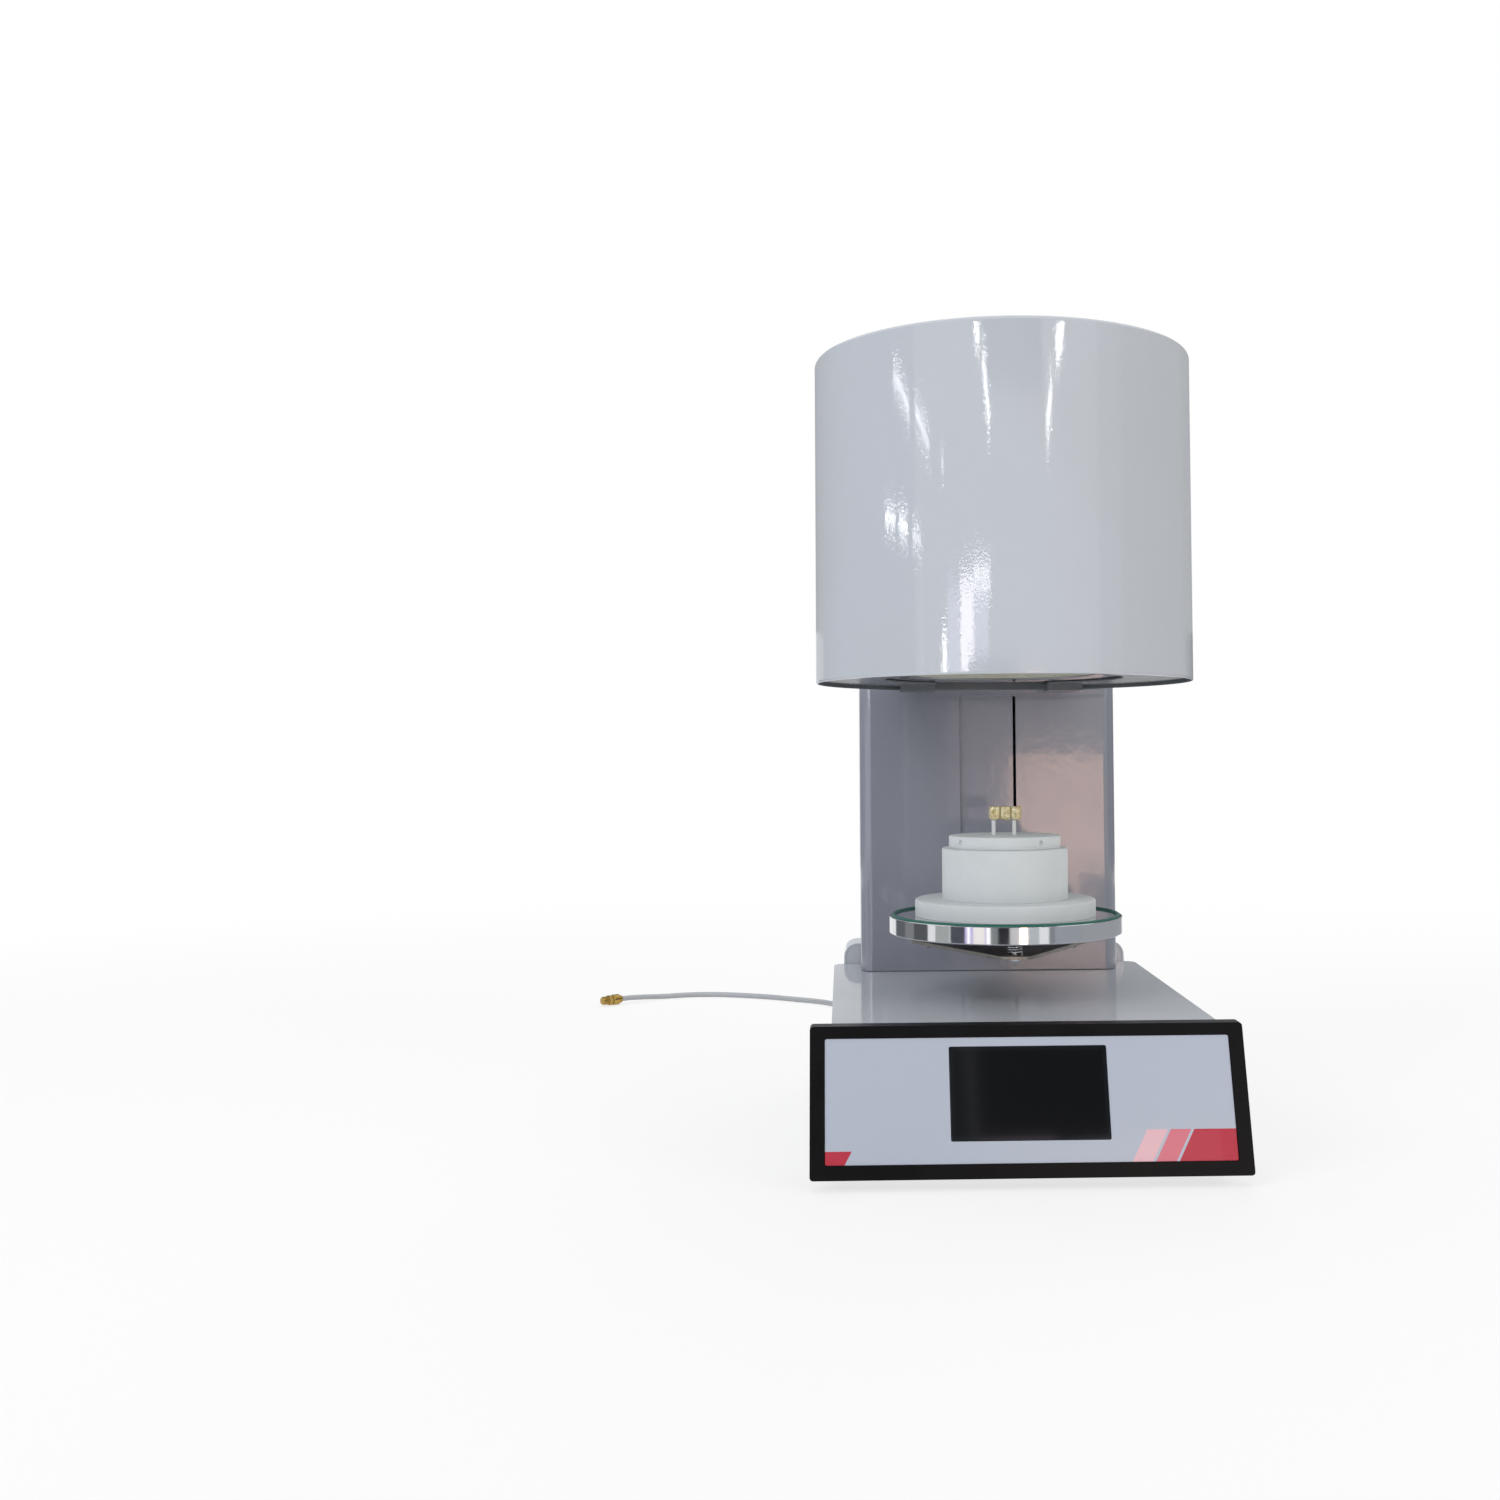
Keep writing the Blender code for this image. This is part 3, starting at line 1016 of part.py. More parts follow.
def build_rear(body):
    """Rear housing with the mains inlet, pump outlet, switch frame and hose port."""
    low = (-HOUSING_WIDTH / 2, DECK_BACK_Y + SEAT_GAP, FOOT_HEIGHT)
    shell = block(low, (HOUSING_WIDTH / 2, REAR_Y, FOOT_HEIGHT + HOUSING_HEIGHT))
    bevel_edges(shell, lambda a, b: a.y != b.y and a.z > DECK_Z, HOUSING_CORNER)
    open_side(shell, (0, -1, 0))
    housing = add_piece("rear_housing", shell, (0, 0, 0), "white_enamel", body)
    thicken(housing, SHEET)
    brow_x, brow_top = HOUSING_WIDTH / 2 - SHEET / 2, FOOT_HEIGHT + HOUSING_HEIGHT - SHEET / 2
    brow_low = (-brow_x, low[1] + SHEET / 4, DECK_Z - 2 * SHEET)
    brow = block(brow_low, (brow_x, low[1] + SHEET, brow_top))
    bevel_edges(brow, lambda a, b: a.y != b.y and a.z > DECK_Z, HOUSING_CORNER - SHEET / 2)
    fuse(housing, brow, (0, 0, 0))
    inside, outside = -SHEET - OVERRUN, OVERRUN
    for place, size in ((INLET_PLACE, INLET_SIZE), (OUTLET_PLACE, INLET_SIZE), (SWITCH_PLACE, SWITCH_SIZE)):
        hole = (size[0] + 2 * SEAT_GAP, size[1] + 2 * SEAT_GAP)
        cut(housing, centred(hole, inside, outside), at_rear(place))
    drill = lie_along_y(cylinder(PORT_COLLAR_RADIUS + SEAT_GAP, SHEET + 2 * OVERRUN, 0, FINE_STEPS))
    cut(housing, drill, (PORT_PLACE[0], REAR_Y + inside, PORT_PLACE[1]))
    slots = bmesh.new()
    pitch = 2 * FAN_BORE / VENT_SLOTS
    for number in range(VENT_SLOTS):
        z = (number - (VENT_SLOTS - 1) / 2) * pitch
        low = (-VENT_WIDTH / 2, inside, z - VENT_SLOT_HEIGHT / 2)
        block(low, (VENT_WIDTH / 2, outside, z + VENT_SLOT_HEIGHT / 2), slots)
    cut(housing, slots, at_rear(FAN_PLACE))

    for name, place in (("mains_inlet", INLET_PLACE), ("pump_outlet", OUTLET_PLACE)):
        socket = centred(INLET_SIZE, -INLET_DEPTH, REAR_PROUD / 2)
        piece = add_piece(name, socket, at_rear(place), "black_nylon", body)
        fuse(piece, centred(INLET_FLANGE, SEAT_GAP, REAR_PROUD), at_rear(place))
        if name == "mains_inlet":
            cut(piece, centred(INLET_WELL, REAR_PROUD - INLET_WELL_DEPTH, REAR_PROUD + OVERRUN), at_rear(place))
            blades = bmesh.new()
            for x, z in pin_places():
                size = (INLET_BLADE[0], INLET_BLADE[2])
                start = REAR_PROUD - INLET_WELL_DEPTH - BLADE_ROOT
                low = (x - size[0] / 2, start, z - size[1] / 2)
                high = (x + size[0] / 2, start + BLADE_ROOT + INLET_BLADE[1], z + size[1] / 2)
                block(low, high, blades)
            fuse(piece, blades, at_rear(place))
        else:
            slits = bmesh.new()
            for x, z in pin_places():
                low = (x - OUTLET_SLOT[0] / 2, REAR_PROUD - INLET_WELL_DEPTH, z - OUTLET_SLOT[1] / 2)
                high = (x + OUTLET_SLOT[0] / 2, REAR_PROUD + OVERRUN, z + OUTLET_SLOT[1] / 2)
                block(low, high, slits)
            cut(piece, slits, at_rear(place))

    frame = centred(SWITCH_SIZE, -INLET_DEPTH / 2, SWITCH_LIP)
    switch = add_piece("switch_frame", frame, at_rear(SWITCH_PLACE), "black_nylon", body)
    fuse(switch, centred(SWITCH_FLANGE, SEAT_GAP, SWITCH_LIP + SEAT_GAP), at_rear(SWITCH_PLACE))
    well = (SWITCH_SIZE[0] - 2 * SWITCH_WALL, SWITCH_SIZE[1] - 2 * SWITCH_WALL)
    cut(switch, centred(well, -INLET_DEPTH / 2 + SWITCH_WALL, OVERRUN), at_rear(SWITCH_PLACE))

    collar_z = PORT_LENGTH - PORT_COLLAR_LENGTH
    port_profile = [
        (0, -PORT_COLLAR_LENGTH),
        (PORT_COLLAR_RADIUS, -PORT_COLLAR_LENGTH),
        (PORT_COLLAR_RADIUS, SEAT_GAP),
        (PORT_RADIUS, SEAT_GAP),
        (PORT_RADIUS, collar_z),
        (PORT_COLLAR_RADIUS, collar_z),
        (PORT_COLLAR_RADIUS, PORT_LENGTH),
        (0, PORT_LENGTH),
    ]
    add_piece("vacuum_port", lie_along_y(turned(port_profile, FINE_STEPS)), at_rear(PORT_PLACE), "brass", body)


def pin_places():
    """Places of the three contacts of a mains connector about its middle."""
    offset = INLET_BLADE_SPREAD / 4
    return ((-INLET_BLADE_SPREAD, -offset), (INLET_BLADE_SPREAD, -offset), (0, offset))


def build_rocker(body):
    """The switch's rocker, tilted to its off side."""
    well = (SWITCH_SIZE[0] - 2 * SWITCH_WALL, SWITCH_SIZE[1] - 2 * SWITCH_WALL)
    size = (well[0] - 2 * SEAT_GAP, well[1] - ROCKER_THICKNESS / 2)
    bar = centred(size, -ROCKER_THICKNESS / 2, ROCKER_THICKNESS / 2)
    rocker = add_piece("switch_rocker", bar, at_rear(SWITCH_PLACE), "black_abs", body, (-ROCKER_TILT, 0, 0))
    round_edges(rocker, EDGE_ROUND / 2, 1)


def build_fan(body, rotor_body):
    """Cooling fan behind the vents: its frame on the housing and its rotor on the axle."""
    back = REAR_Y - SHEET - SEAT_GAP
    start = back - FAN_DEPTH
    outline = rounded_rectangle(FAN_SIDE, FAN_SIDE, FAN_CORNER)
    place = (FAN_PLACE[0], start, FAN_PLACE[1])
    frame = add_piece("fan_frame", prism(outline, FAN_DEPTH, "Y"), place, "black_nylon", body)
    bore = lie_along_y(cylinder(FAN_BORE, FAN_DEPTH + 2 * OVERRUN, 0, ROUND_STEPS))
    cut(frame, bore, (place[0], start - OVERRUN, place[2]))
    span = 2 * FAN_BORE + FAN_STRUT
    bars = centred((span, FAN_STRUT), 0, FAN_STRUT)
    fuse(frame, bars, place)
    fuse(frame, centred((FAN_STRUT, span), 0, FAN_STRUT), place)
    hub_profile = [
        (0, 0),
        (FAN_HUB_RADIUS, 0),
        (FAN_HUB_RADIUS, FAN_STRUT),
        (FAN_AXLE_RADIUS, FAN_STRUT),
        (FAN_AXLE_RADIUS, FAN_DEPTH - FAN_STRUT * 2),
        (0, FAN_DEPTH - FAN_STRUT * 2),
    ]
    fuse(frame, lie_along_y(turned(hub_profile, FINE_STEPS)), place)

    hub_start = start + FAN_STRUT + RUNNING_GAP
    hub_depth = FAN_DEPTH - 2 * FAN_STRUT
    axle_hole = FAN_AXLE_RADIUS + RUNNING_GAP
    cup = [
        (axle_hole, 0),
        (axle_hole, hub_depth - FAN_STRUT),
        (0, hub_depth - FAN_STRUT),
        (0, hub_depth),
        (FAN_HUB_RADIUS, hub_depth),
        (FAN_HUB_RADIUS, 0),
    ]
    rotor_place = (FAN_PLACE[0], hub_start, FAN_PLACE[1])
    shape = lie_along_y(turned(cup, FINE_STEPS * 2))
    rotor = add_piece("fan_rotor", shape, rotor_place, "black_nylon", rotor_body)
    blades = bmesh.new()
    tip, root = FAN_BORE - EDGE_ROUND, FAN_HUB_RADIUS - EDGE_ROUND
    middle = Vector((0, hub_depth / 2, 0))
    for number in range(FAN_BLADES):
        before = set(blades.verts)
        low = (-FAN_BLADE_THICKNESS / 2, -FAN_BLADE_CHORD / 2, root)
        block(low, (FAN_BLADE_THICKNESS / 2, FAN_BLADE_CHORD / 2, tip), blades)
        new = [vert for vert in blades.verts if vert not in before]
        twist = Matrix.Rotation(FAN_BLADE_TWIST, 4, "Z")
        turn = Matrix.Rotation(math.tau * number / FAN_BLADES, 4, "Y")
        bmesh.ops.transform(blades, matrix=Matrix.Translation(middle) @ turn @ twist, verts=new)
    fuse(rotor, blades, rotor_place)


def smooth_route(points, step):
    """Points a step apart along a smooth curve through the route's own points."""
    spots = [Vector(point) for point in points]
    spots = [2 * spots[0] - spots[1], *spots, 2 * spots[-1] - spots[-2]]
    fine = []
    for a, b, c, d in zip(spots, spots[1:], spots[2:], spots[3:]):
        for i in range(ROUTE_DIVISIONS):
            t = i / ROUTE_DIVISIONS
            slope = (c - a) * t + (2 * a - 5 * b + 4 * c - d) * t * t + (3 * b - 3 * c + d - a) * t**3
            fine.append(b + slope / 2)
    fine.append(spots[-2])
    lengths = [0]
    for a, b in zip(fine, fine[1:]):
        lengths.append(lengths[-1] + (b - a).length)
    count = max(2, round(lengths[-1] / step))
    result, at = [], 0
    for i in range(count + 1):
        target = lengths[-1] * i / count
        while at < len(lengths) - 2 and lengths[at + 1] < target:
            at += 1
        share = (target - lengths[at]) / (lengths[at + 1] - lengths[at])
        result.append(fine[at].lerp(fine[at + 1], share))
    return result


def coil_points():
    """Loops of the stored hose: in along the table, up a layer where the spiral reverses, and out."""
    spiral, climb = round(COIL_TURNS * COIL_POINTS), COIL_POINTS // 2
    count = 2 * spiral + climb
    outer = COIL_INNER_RADIUS + COIL_PITCH * count / 2 / COIL_POINTS
    centre = (PORT_PLACE[0] + outer, COIL_Y)
    points = []
    for i in range(count + 1):
        radius = outer - COIL_PITCH * min(i, count - i) / COIL_POINTS
        rise = min(max((i - spiral) / climb, 0), 1)
        height = CORD_Z + COIL_PITCH * rise * rise * (3 - 2 * rise)
        turn = math.pi - math.tau * i / COIL_POINTS
        points.append((centre[0] + radius * math.cos(turn), centre[1] + radius * math.sin(turn), height))
    first, last = Vector(points[0]), Vector(points[-1])
    along = Vector((0, HOSE_DIAMETER, 0))
    return [tuple(first - along), *points, tuple(last + along)]


def route_length(points):
    """Length of a polyline."""
    return sum((Vector(b) - Vector(a)).length for a, b in zip(points, points[1:]))


def build_hose(body):
    """Vacuum hose: from its port to the stored coil, and on along the table to its fitting."""
    coil = coil_points()
    step = HOSE_DIAMETER * HOSE_STEP_SHARE
    first, second = smooth_route(PORT_RUN, step), smooth_route(PUMP_RUN, step)
    tube("hose_port_run", first, HOSE_DIAMETER, "polyurethane", body)
    tube("hose_coil", coil, HOSE_DIAMETER, "polyurethane", body, 1)
    tube("hose_pump_run", second, HOSE_DIAMETER, "polyurethane", body)
    way = (Vector(PUMP_RUN[-1]) - Vector(PUMP_RUN[-2])).normalized()
    way.z = 0
    place = second[-1] + way.normalized() * SEAT_GAP
    place.z = FITTING_RADIUS + HOSE_FLOOR_GAP
    long = FITTING_LENGTH
    shape = [
        (0, 0),
        (HOSE_DIAMETER / 2 + EDGE_ROUND, 0),
        (HOSE_DIAMETER / 2 + EDGE_ROUND, FITTING_COLLAR_LENGTH),
        (FITTING_RADIUS, FITTING_COLLAR_LENGTH),
        (FITTING_RADIUS, long - FITTING_COLLAR_LENGTH),
        (FITTING_RADIUS - EDGE_ROUND, long - FITTING_COLLAR_LENGTH),
        (FITTING_RADIUS - EDGE_ROUND, long),
        (0, long),
    ]
    turn = way.to_track_quat("Z", "Y").to_euler()
    add_piece("hose_fitting", turned(shape, FINE_STEPS), place, "brass", body, turn)
    total = route_length(first) + route_length(coil) + route_length(second)
    print(f"hose length: {total:.3f} m, of which in the coil {route_length(coil):.3f} m")
    gap = least_gap(coil, HOSE_DIAMETER, COIL_POINTS // 2)
    print(f"least gap of the coiled hose to itself: {gap * 1000:.2f} mm")


def main():
    """Build the furnace, one body after the other."""
    clear_scene()
    base = add_body("base")
    lift = add_body("lift", (0, AXIS_Y, LEVEL_PLATE_Z), base)
    platform = add_body("platform", (0, AXIS_Y, PLATFORM_BOTTOM_Z), lift)
    tray = add_body("tray", (0, AXIS_Y, TRAY_Z), platform)
    bridge = add_body("bridge", ((PIN_LEFT + PIN_RIGHT) / 2, AXIS_Y, CROWN_Z), tray)
    screw = add_body("screw", (0, MAST_Y, DECK_Z), base)
    rocker = add_body("rocker", at_rear(SWITCH_PLACE), base)
    fan = add_body("fan", at_rear(FAN_PLACE), base)
    build_control_front(base)
    build_base(base)
    build_column(base)
    build_head(base)
    build_rear(base)
    build_fan(base, fan)
    build_rocker(rocker)
    build_screw(screw)
    build_carriage(lift)
    build_springs(lift)
    build_platform(platform)
    build_tray(tray)
    build_bridge(bridge)
    build_hose(base)


main()
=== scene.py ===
"""Dental porcelain furnace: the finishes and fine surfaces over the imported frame.

Metres, +Z up, the control front faces -Y. Each sub-assembly is a class that holds its real sizes,
builds its pieces with bmesh operators and dresses the frame's own nodes in their finishes.
"""

import logging
import math
import sys
from collections.abc import Sequence
from dataclasses import dataclass
from enum import Enum
from typing import Protocol

import bmesh
import bpy
from mathutils import Matrix, Vector

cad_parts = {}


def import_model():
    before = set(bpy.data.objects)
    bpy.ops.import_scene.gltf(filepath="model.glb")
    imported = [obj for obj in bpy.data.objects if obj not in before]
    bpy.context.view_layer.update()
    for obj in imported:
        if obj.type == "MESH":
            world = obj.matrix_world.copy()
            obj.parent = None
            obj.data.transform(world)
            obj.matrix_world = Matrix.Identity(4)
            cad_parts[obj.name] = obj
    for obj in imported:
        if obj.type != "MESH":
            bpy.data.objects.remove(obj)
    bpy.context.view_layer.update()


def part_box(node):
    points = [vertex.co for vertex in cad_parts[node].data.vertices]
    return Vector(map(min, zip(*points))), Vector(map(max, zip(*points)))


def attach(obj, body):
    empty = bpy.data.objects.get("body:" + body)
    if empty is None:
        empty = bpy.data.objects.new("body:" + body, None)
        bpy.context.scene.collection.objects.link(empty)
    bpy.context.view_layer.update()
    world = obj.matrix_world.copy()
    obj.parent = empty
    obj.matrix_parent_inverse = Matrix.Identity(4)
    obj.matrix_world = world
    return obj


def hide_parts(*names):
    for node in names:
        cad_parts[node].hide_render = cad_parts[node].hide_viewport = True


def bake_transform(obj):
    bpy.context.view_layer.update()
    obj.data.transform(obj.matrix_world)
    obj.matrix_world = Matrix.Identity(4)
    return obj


LOG = logging.getLogger("furnace")
MM = 0.001
GAP = 0.3 * MM
MERGE = 0.001 * MM
# Everything round is turned on the lift axis, which stands at this Y
LIFT_Y = -31.4 * MM
# Radius and height of the heads of three kinds of screw
CASE_SCREW = (3.0 * MM, 1.5 * MM)
FAN_SCREW = (2.8 * MM, 1.4 * MM)
PLATE_SCREW = (3.4 * MM, 1.6 * MM)

Point = tuple[float, float, float]
Outline = Sequence[tuple[float, float]]
Mesh = bmesh.types.BMesh
Node = bpy.types.Node
Object = bpy.types.Object
Socket = bpy.types.NodeSocket
Tree = bpy.types.NodeTree
LIFT_AXIS: Point = (0.0, LIFT_Y, 0.0)


class Grain(Enum):
    """How a surface was made, which gives its fine relief."""

    ORANGE_PEEL = "orange peel"
    MOULDED = "moulded"
    TURNED = "turned"
    BRUSHED = "brushed"
    FIBRE = "fibre"
    FIRED = "fired"


class Axis(Enum):
    """The direction that a piece is turned or brushed along."""

    X = (1.0, 0.0, 0.0)
    Y = (0.0, 1.0, 0.0)
    Z = (0.0, 0.0, 1.0)


class Coating(Protocol):
    """What a piece can be finished in, with the material slot that it belongs to."""

    slot: str

    def material(self) -> bpy.types.Material:
        """Give the material.

        Returns:
            The material.
        """


def linear(code: str) -> tuple[float, float, float, float]:
    """Turn an sRGB hex colour into scene-linear light.

    Args:
        code: The colour as #rrggbb.

    Returns:
        Red, green, blue and an alpha of 1.
    """
    channels = [int(code[i : i + 2], 16) / 255 for i in (1, 3, 5)]
    values = [c / 12.92 if c <= 0.04045 else ((c + 0.055) / 1.055) ** 2.4 for c in channels]
    return (values[0], values[1], values[2], 1.0)


def fill(tree: Tree, node: Node, settings: dict[str | int, object]) -> None:
    """Set or feed the inputs of a shader node.

    Args:
        tree: The node tree that it stands in.
        node: The node.
        settings: For each input its value or the socket that feeds it, and the node's own attributes.
    """
    for key, value in settings.items():
        if isinstance(value, Socket):
            tree.links.new(value, node.inputs[key])
        elif isinstance(key, str) and hasattr(node, key):
            setattr(node, key, value)
        else:
            node.inputs[key].default_value = value


def add_node(tree: Tree, kind: str, settings: dict[str | int, object] | None = None) -> Node:
    """Add a shader node with its settings and links.

    Args:
        tree: The node tree.
        kind: The node's Blender type.
        settings: For each input its value or the socket that feeds it, and the node's own attributes.

    Returns:
        The new node.
    """
    node = tree.nodes.new(kind)
    fill(tree, node, settings or {})
    return node


def calc(tree: Tree, operation: str, a: object, b: object) -> Socket:
    """Work out one value from two.

    Args:
        tree: The node tree.
        operation: The operation's name.
        a: A number or a socket.
        b: A number or a socket.

    Returns:
        The result's socket.
    """
    return add_node(tree, "ShaderNodeMath", {"operation": operation, 0: a, 1: b}).outputs[0]


def remap(tree: Tree, settings: dict[str | int, object]) -> Socket:
    """Map a value from one range to another.

    Args:
        tree: The node tree.
        settings: The value and the bounds of both ranges.

    Returns:
        The result's socket.
    """
    return add_node(tree, "ShaderNodeMapRange", settings).outputs["Result"]


def bump(tree: Tree, shader: Node, height: Socket, depth: float) -> None:
    """Raise a height as fine relief.

    Args:
        tree: The material's node tree.
        shader: Its Principled shader.
        height: The height, about 0 to 1.
        depth: What a height of 1 stands for.
    """
    relief = add_node(tree, "ShaderNodeBump", {"Strength": 1.0, "Distance": depth, "Height": height})
    fill(tree, shader, {"Normal": relief.outputs["Normal"]})


def new_material(name: str) -> tuple[bpy.types.Material, Tree, Node]:
    """Start a node material.

    Args:
        name: Its name.

    Returns:
        The material, its node tree and its Principled shader.
    """
    result = bpy.data.materials.new(name)
    result.use_nodes = True
    return result, result.node_tree, result.node_tree.nodes["Principled BSDF"]


@dataclass(frozen=True)
class Finish:
    """One real finish: its colour, its gloss and the relief that its making left.

    The sizes of its relief and shades are in millimetres, its turning centre in metres. A pattern
    too fine to show is drawn as coarse as it needs to be seen.
    """

    name: str
    slot: str
    colour: str
    roughness: float
    grain: Grain
    grain_size: float
    depth: float
    metallic: float = 0.0
    ior: float = 1.5
    coat: float = 0.0
    specular: float = 0.5
    shade: str = ""
    shade_size: float = 40.0
    shade_share: float = 0.5
    rough_swing: float = 0.0
    axis: Axis = Axis.Z
    centre: Point = (0.0, 0.0, 0.0)
    subsurface: float = 0.0

    def material(self) -> bpy.types.Material:
        """Build the finish as a node material, once for each name.

        Returns:
            The material.
        """
        found = bpy.data.materials.get(self.name)
        if found:
            return found
        result, tree, shader = new_material(self.name)
        values = {
            "Base Color": linear(self.colour),
            "Roughness": self.roughness,
            "Metallic": self.metallic,
            "Coat Weight": self.coat,
            "Specular IOR Level": self.specular,
            "Subsurface Weight": self.subsurface,
            "Subsurface Scale": 2 * MM,
        }
        if not self.metallic:
            values["IOR"] = self.ior
        fill(tree, shader, values)
        place = add_node(tree, "ShaderNodeTexCoord").outputs["Object"]
        if self.shade or self.rough_swing:
            self.tint(tree, shader, place)
        self.relief(tree, shader, place)
        result.diffuse_color = linear(self.colour)
        return result

    def tint(self, tree: Tree, shader: Node, place: Socket) -> None:
        """Drift the colour and the gloss slowly across the surface.

        Args:
            tree: The material's node tree.
            shader: Its Principled shader.
            place: Object coordinates.
        """
        patches = {"Scale": 1 / (self.shade_size * MM), "Detail": 4.0, "Roughness": 0.55, "Vector": place}
        cloud = add_node(tree, "ShaderNodeTexNoise", patches).outputs["Fac"]
        drift = {"From Min": 0.3, "From Max": 0.7, "Value": cloud}
        if self.shade:
            share = remap(tree, {**drift, "To Max": self.shade_share})
            mix = {"data_type": "RGBA", 0: share, 6: linear(self.colour), 7: linear(self.shade)}
            fill(tree, shader, {"Base Color": add_node(tree, "ShaderNodeMix", mix).outputs[2]})
        if self.rough_swing:
            least = max(self.roughness - self.rough_swing, 0.02)
            gloss = {"To Min": least, "To Max": self.roughness + self.rough_swing}
            fill(tree, shader, {"Roughness": remap(tree, {**drift, **gloss})})

    def relief(self, tree: Tree, shader: Node, place: Socket) -> None:
        """Raise the fine relief of the surface as a bump.

        Args:
            tree: The material's node tree.
            shader: Its Principled shader.
            place: Object coordinates.
        """
        scale = 1 / (self.grain_size * MM)
        if self.grain is Grain.TURNED:
            place = self.turned_place(tree, place)
        elif self.grain is Grain.BRUSHED:
            stretch = tuple(0.02 if along else 1.0 for along in self.axis.value)
            place = add_node(tree, "ShaderNodeMapping", {"Scale": stretch, "Vector": place}).outputs[0]
        if self.grain in (Grain.FIBRE, Grain.FIRED):
            pores = add_node(tree, "ShaderNodeTexVoronoi", {"Scale": scale, "Vector": place})
            fleck = {"Scale": scale * 3, "Detail": 5.0, "Roughness": 0.7, "Vector": place}
            fuzz = add_node(tree, "ShaderNodeTexNoise", fleck)
            height = calc(tree, "ADD", pores.outputs["Distance"], fuzz.outputs["Fac"])
        else:
            detail = 1.0 if self.grain is Grain.ORANGE_PEEL else 3.0
            cells = {"Scale": scale, "Detail": detail, "Roughness": 0.6, "Vector": place}
            height = add_node(tree, "ShaderNodeTexNoise", cells).outputs["Fac"]
        bump(tree, shader, height, self.depth * MM)

    def turned_place(self, tree: Tree, place: Socket) -> Socket:
        """Give the distance from the turning axis and the height along it, so that lines run round it.

        Args:
            tree: The material's node tree.
            place: Object coordinates.

        Returns:
            A vector socket that changes only across the tool marks.
        """
        offset = tuple(-value for value in self.centre)
        moved = add_node(tree, "ShaderNodeMapping", {"Location": offset, "Vector": place}).outputs[0]
        flat = tuple(0.0 if along else 1.0 for along in self.axis.value)
        across = add_node(tree, "ShaderNodeVectorMath", {"operation": "MULTIPLY", 0: moved, 1: flat})
        radius = add_node(tree, "ShaderNodeVectorMath", {"operation": "LENGTH", 0: across.outputs[0]})
        run = {"operation": "DOT_PRODUCT", 0: moved, 1: self.axis.value}
        along = add_node(tree, "ShaderNodeVectorMath", run)
        values = {"X": radius.outputs["Value"], "Z": along.outputs["Value"]}
        return add_node(tree, "ShaderNodeCombineXYZ", values).outputs[0]


# Baked gloss enamel on sheet steel: mirror-like, with a faint orange peel
HEAD_ENAMEL = Finish(
    "gloss_enamel_pale_grey", "white_enamel", "#bdc2ca", 0.04, Grain.ORANGE_PEEL, 2.0, 0.04,
    coat=0.3, shade="#b7bbc0", shade_size=160, rough_swing=0.015,
)
DECK_ENAMEL = Finish(
    "gloss_enamel_deck", "white_enamel", "#c4c8ce", 0.10, Grain.ORANGE_PEEL, 4, 0.015,
    coat=0.2, shade="#bec2c8", shade_size=120, rough_swing=0.03,
)
# Blue-grey enamel of the column, sprayed thicker, so its peel shows as a mottle in reflections
COLUMN_ENAMEL = Finish(
    "gloss_enamel_blue_grey", "grey_enamel", "#8b8e99", 0.11, Grain.ORANGE_PEEL, 8, 0.09,
    coat=0.4, shade="#858893", shade_size=40, rough_swing=0.04,
)
# The head's base plate: satin enamel on pressed steel, its grey darkened as painted shade for its shadowed
# underside and for the shell's inner faces
HEAD_PLATE_PAINTED_SHADE = Finish(
    "satin_enamel_head_plate", "white_enamel", "#6a6e72", 0.28, Grain.ORANGE_PEEL, 6, 0.03,
    specular=0.15, shade="#686b70", shade_size=70, rough_swing=0.04,
)
# ABS, injection moulded in a spark-eroded tool: a fine dull grain that softens its highlights
BLACK_ABS = Finish(
    "moulded_abs_black", "black_abs", "#09090b", 0.33, Grain.MOULDED, 0.9, 0.02,
    shade="#0d0d10", shade_size=30, rough_swing=0.05, specular=0.12,
)
BLACK_NYLON = Finish(
    "moulded_nylon_black", "black_nylon", "#1f2022", 0.5, Grain.MOULDED, 0.7, 0.02,
    shade="#2a2b2d", shade_size=12, rough_swing=0.06,
)
# Aluminium, turned on a lathe: fine rings that draw the highlights out into bands
TURNED_ALUMINIUM = Finish(
    "turned_aluminium", "machined_aluminium", "#dcdde0", 0.08, Grain.TURNED, 0.6, 0.010,
    metallic=1.0, rough_swing=0.02, shade="#d2d3d6", shade_size=18, centre=LIFT_AXIS,
)
MILLED_ALUMINIUM = Finish(
    "milled_aluminium", "machined_aluminium", "#b4b6b9", 0.32, Grain.BRUSHED, 0.7, 0.012,
    metallic=1.0, rough_swing=0.06, axis=Axis.Y,
)
BRUSHED_STEEL = Finish(
    "brushed_steel_sheet", "steel", "#a3a5a8", 0.28, Grain.BRUSHED, 0.5, 0.012,
    metallic=1.0, rough_swing=0.07, shade="#8f9194", shade_size=25, axis=Axis.X,
)
GROUND_STEEL = Finish(
    "ground_steel_rod", "steel", "#c2c4c7", 0.14, Grain.TURNED, 0.5, 0.004, metallic=1.0, rough_swing=0.03
)
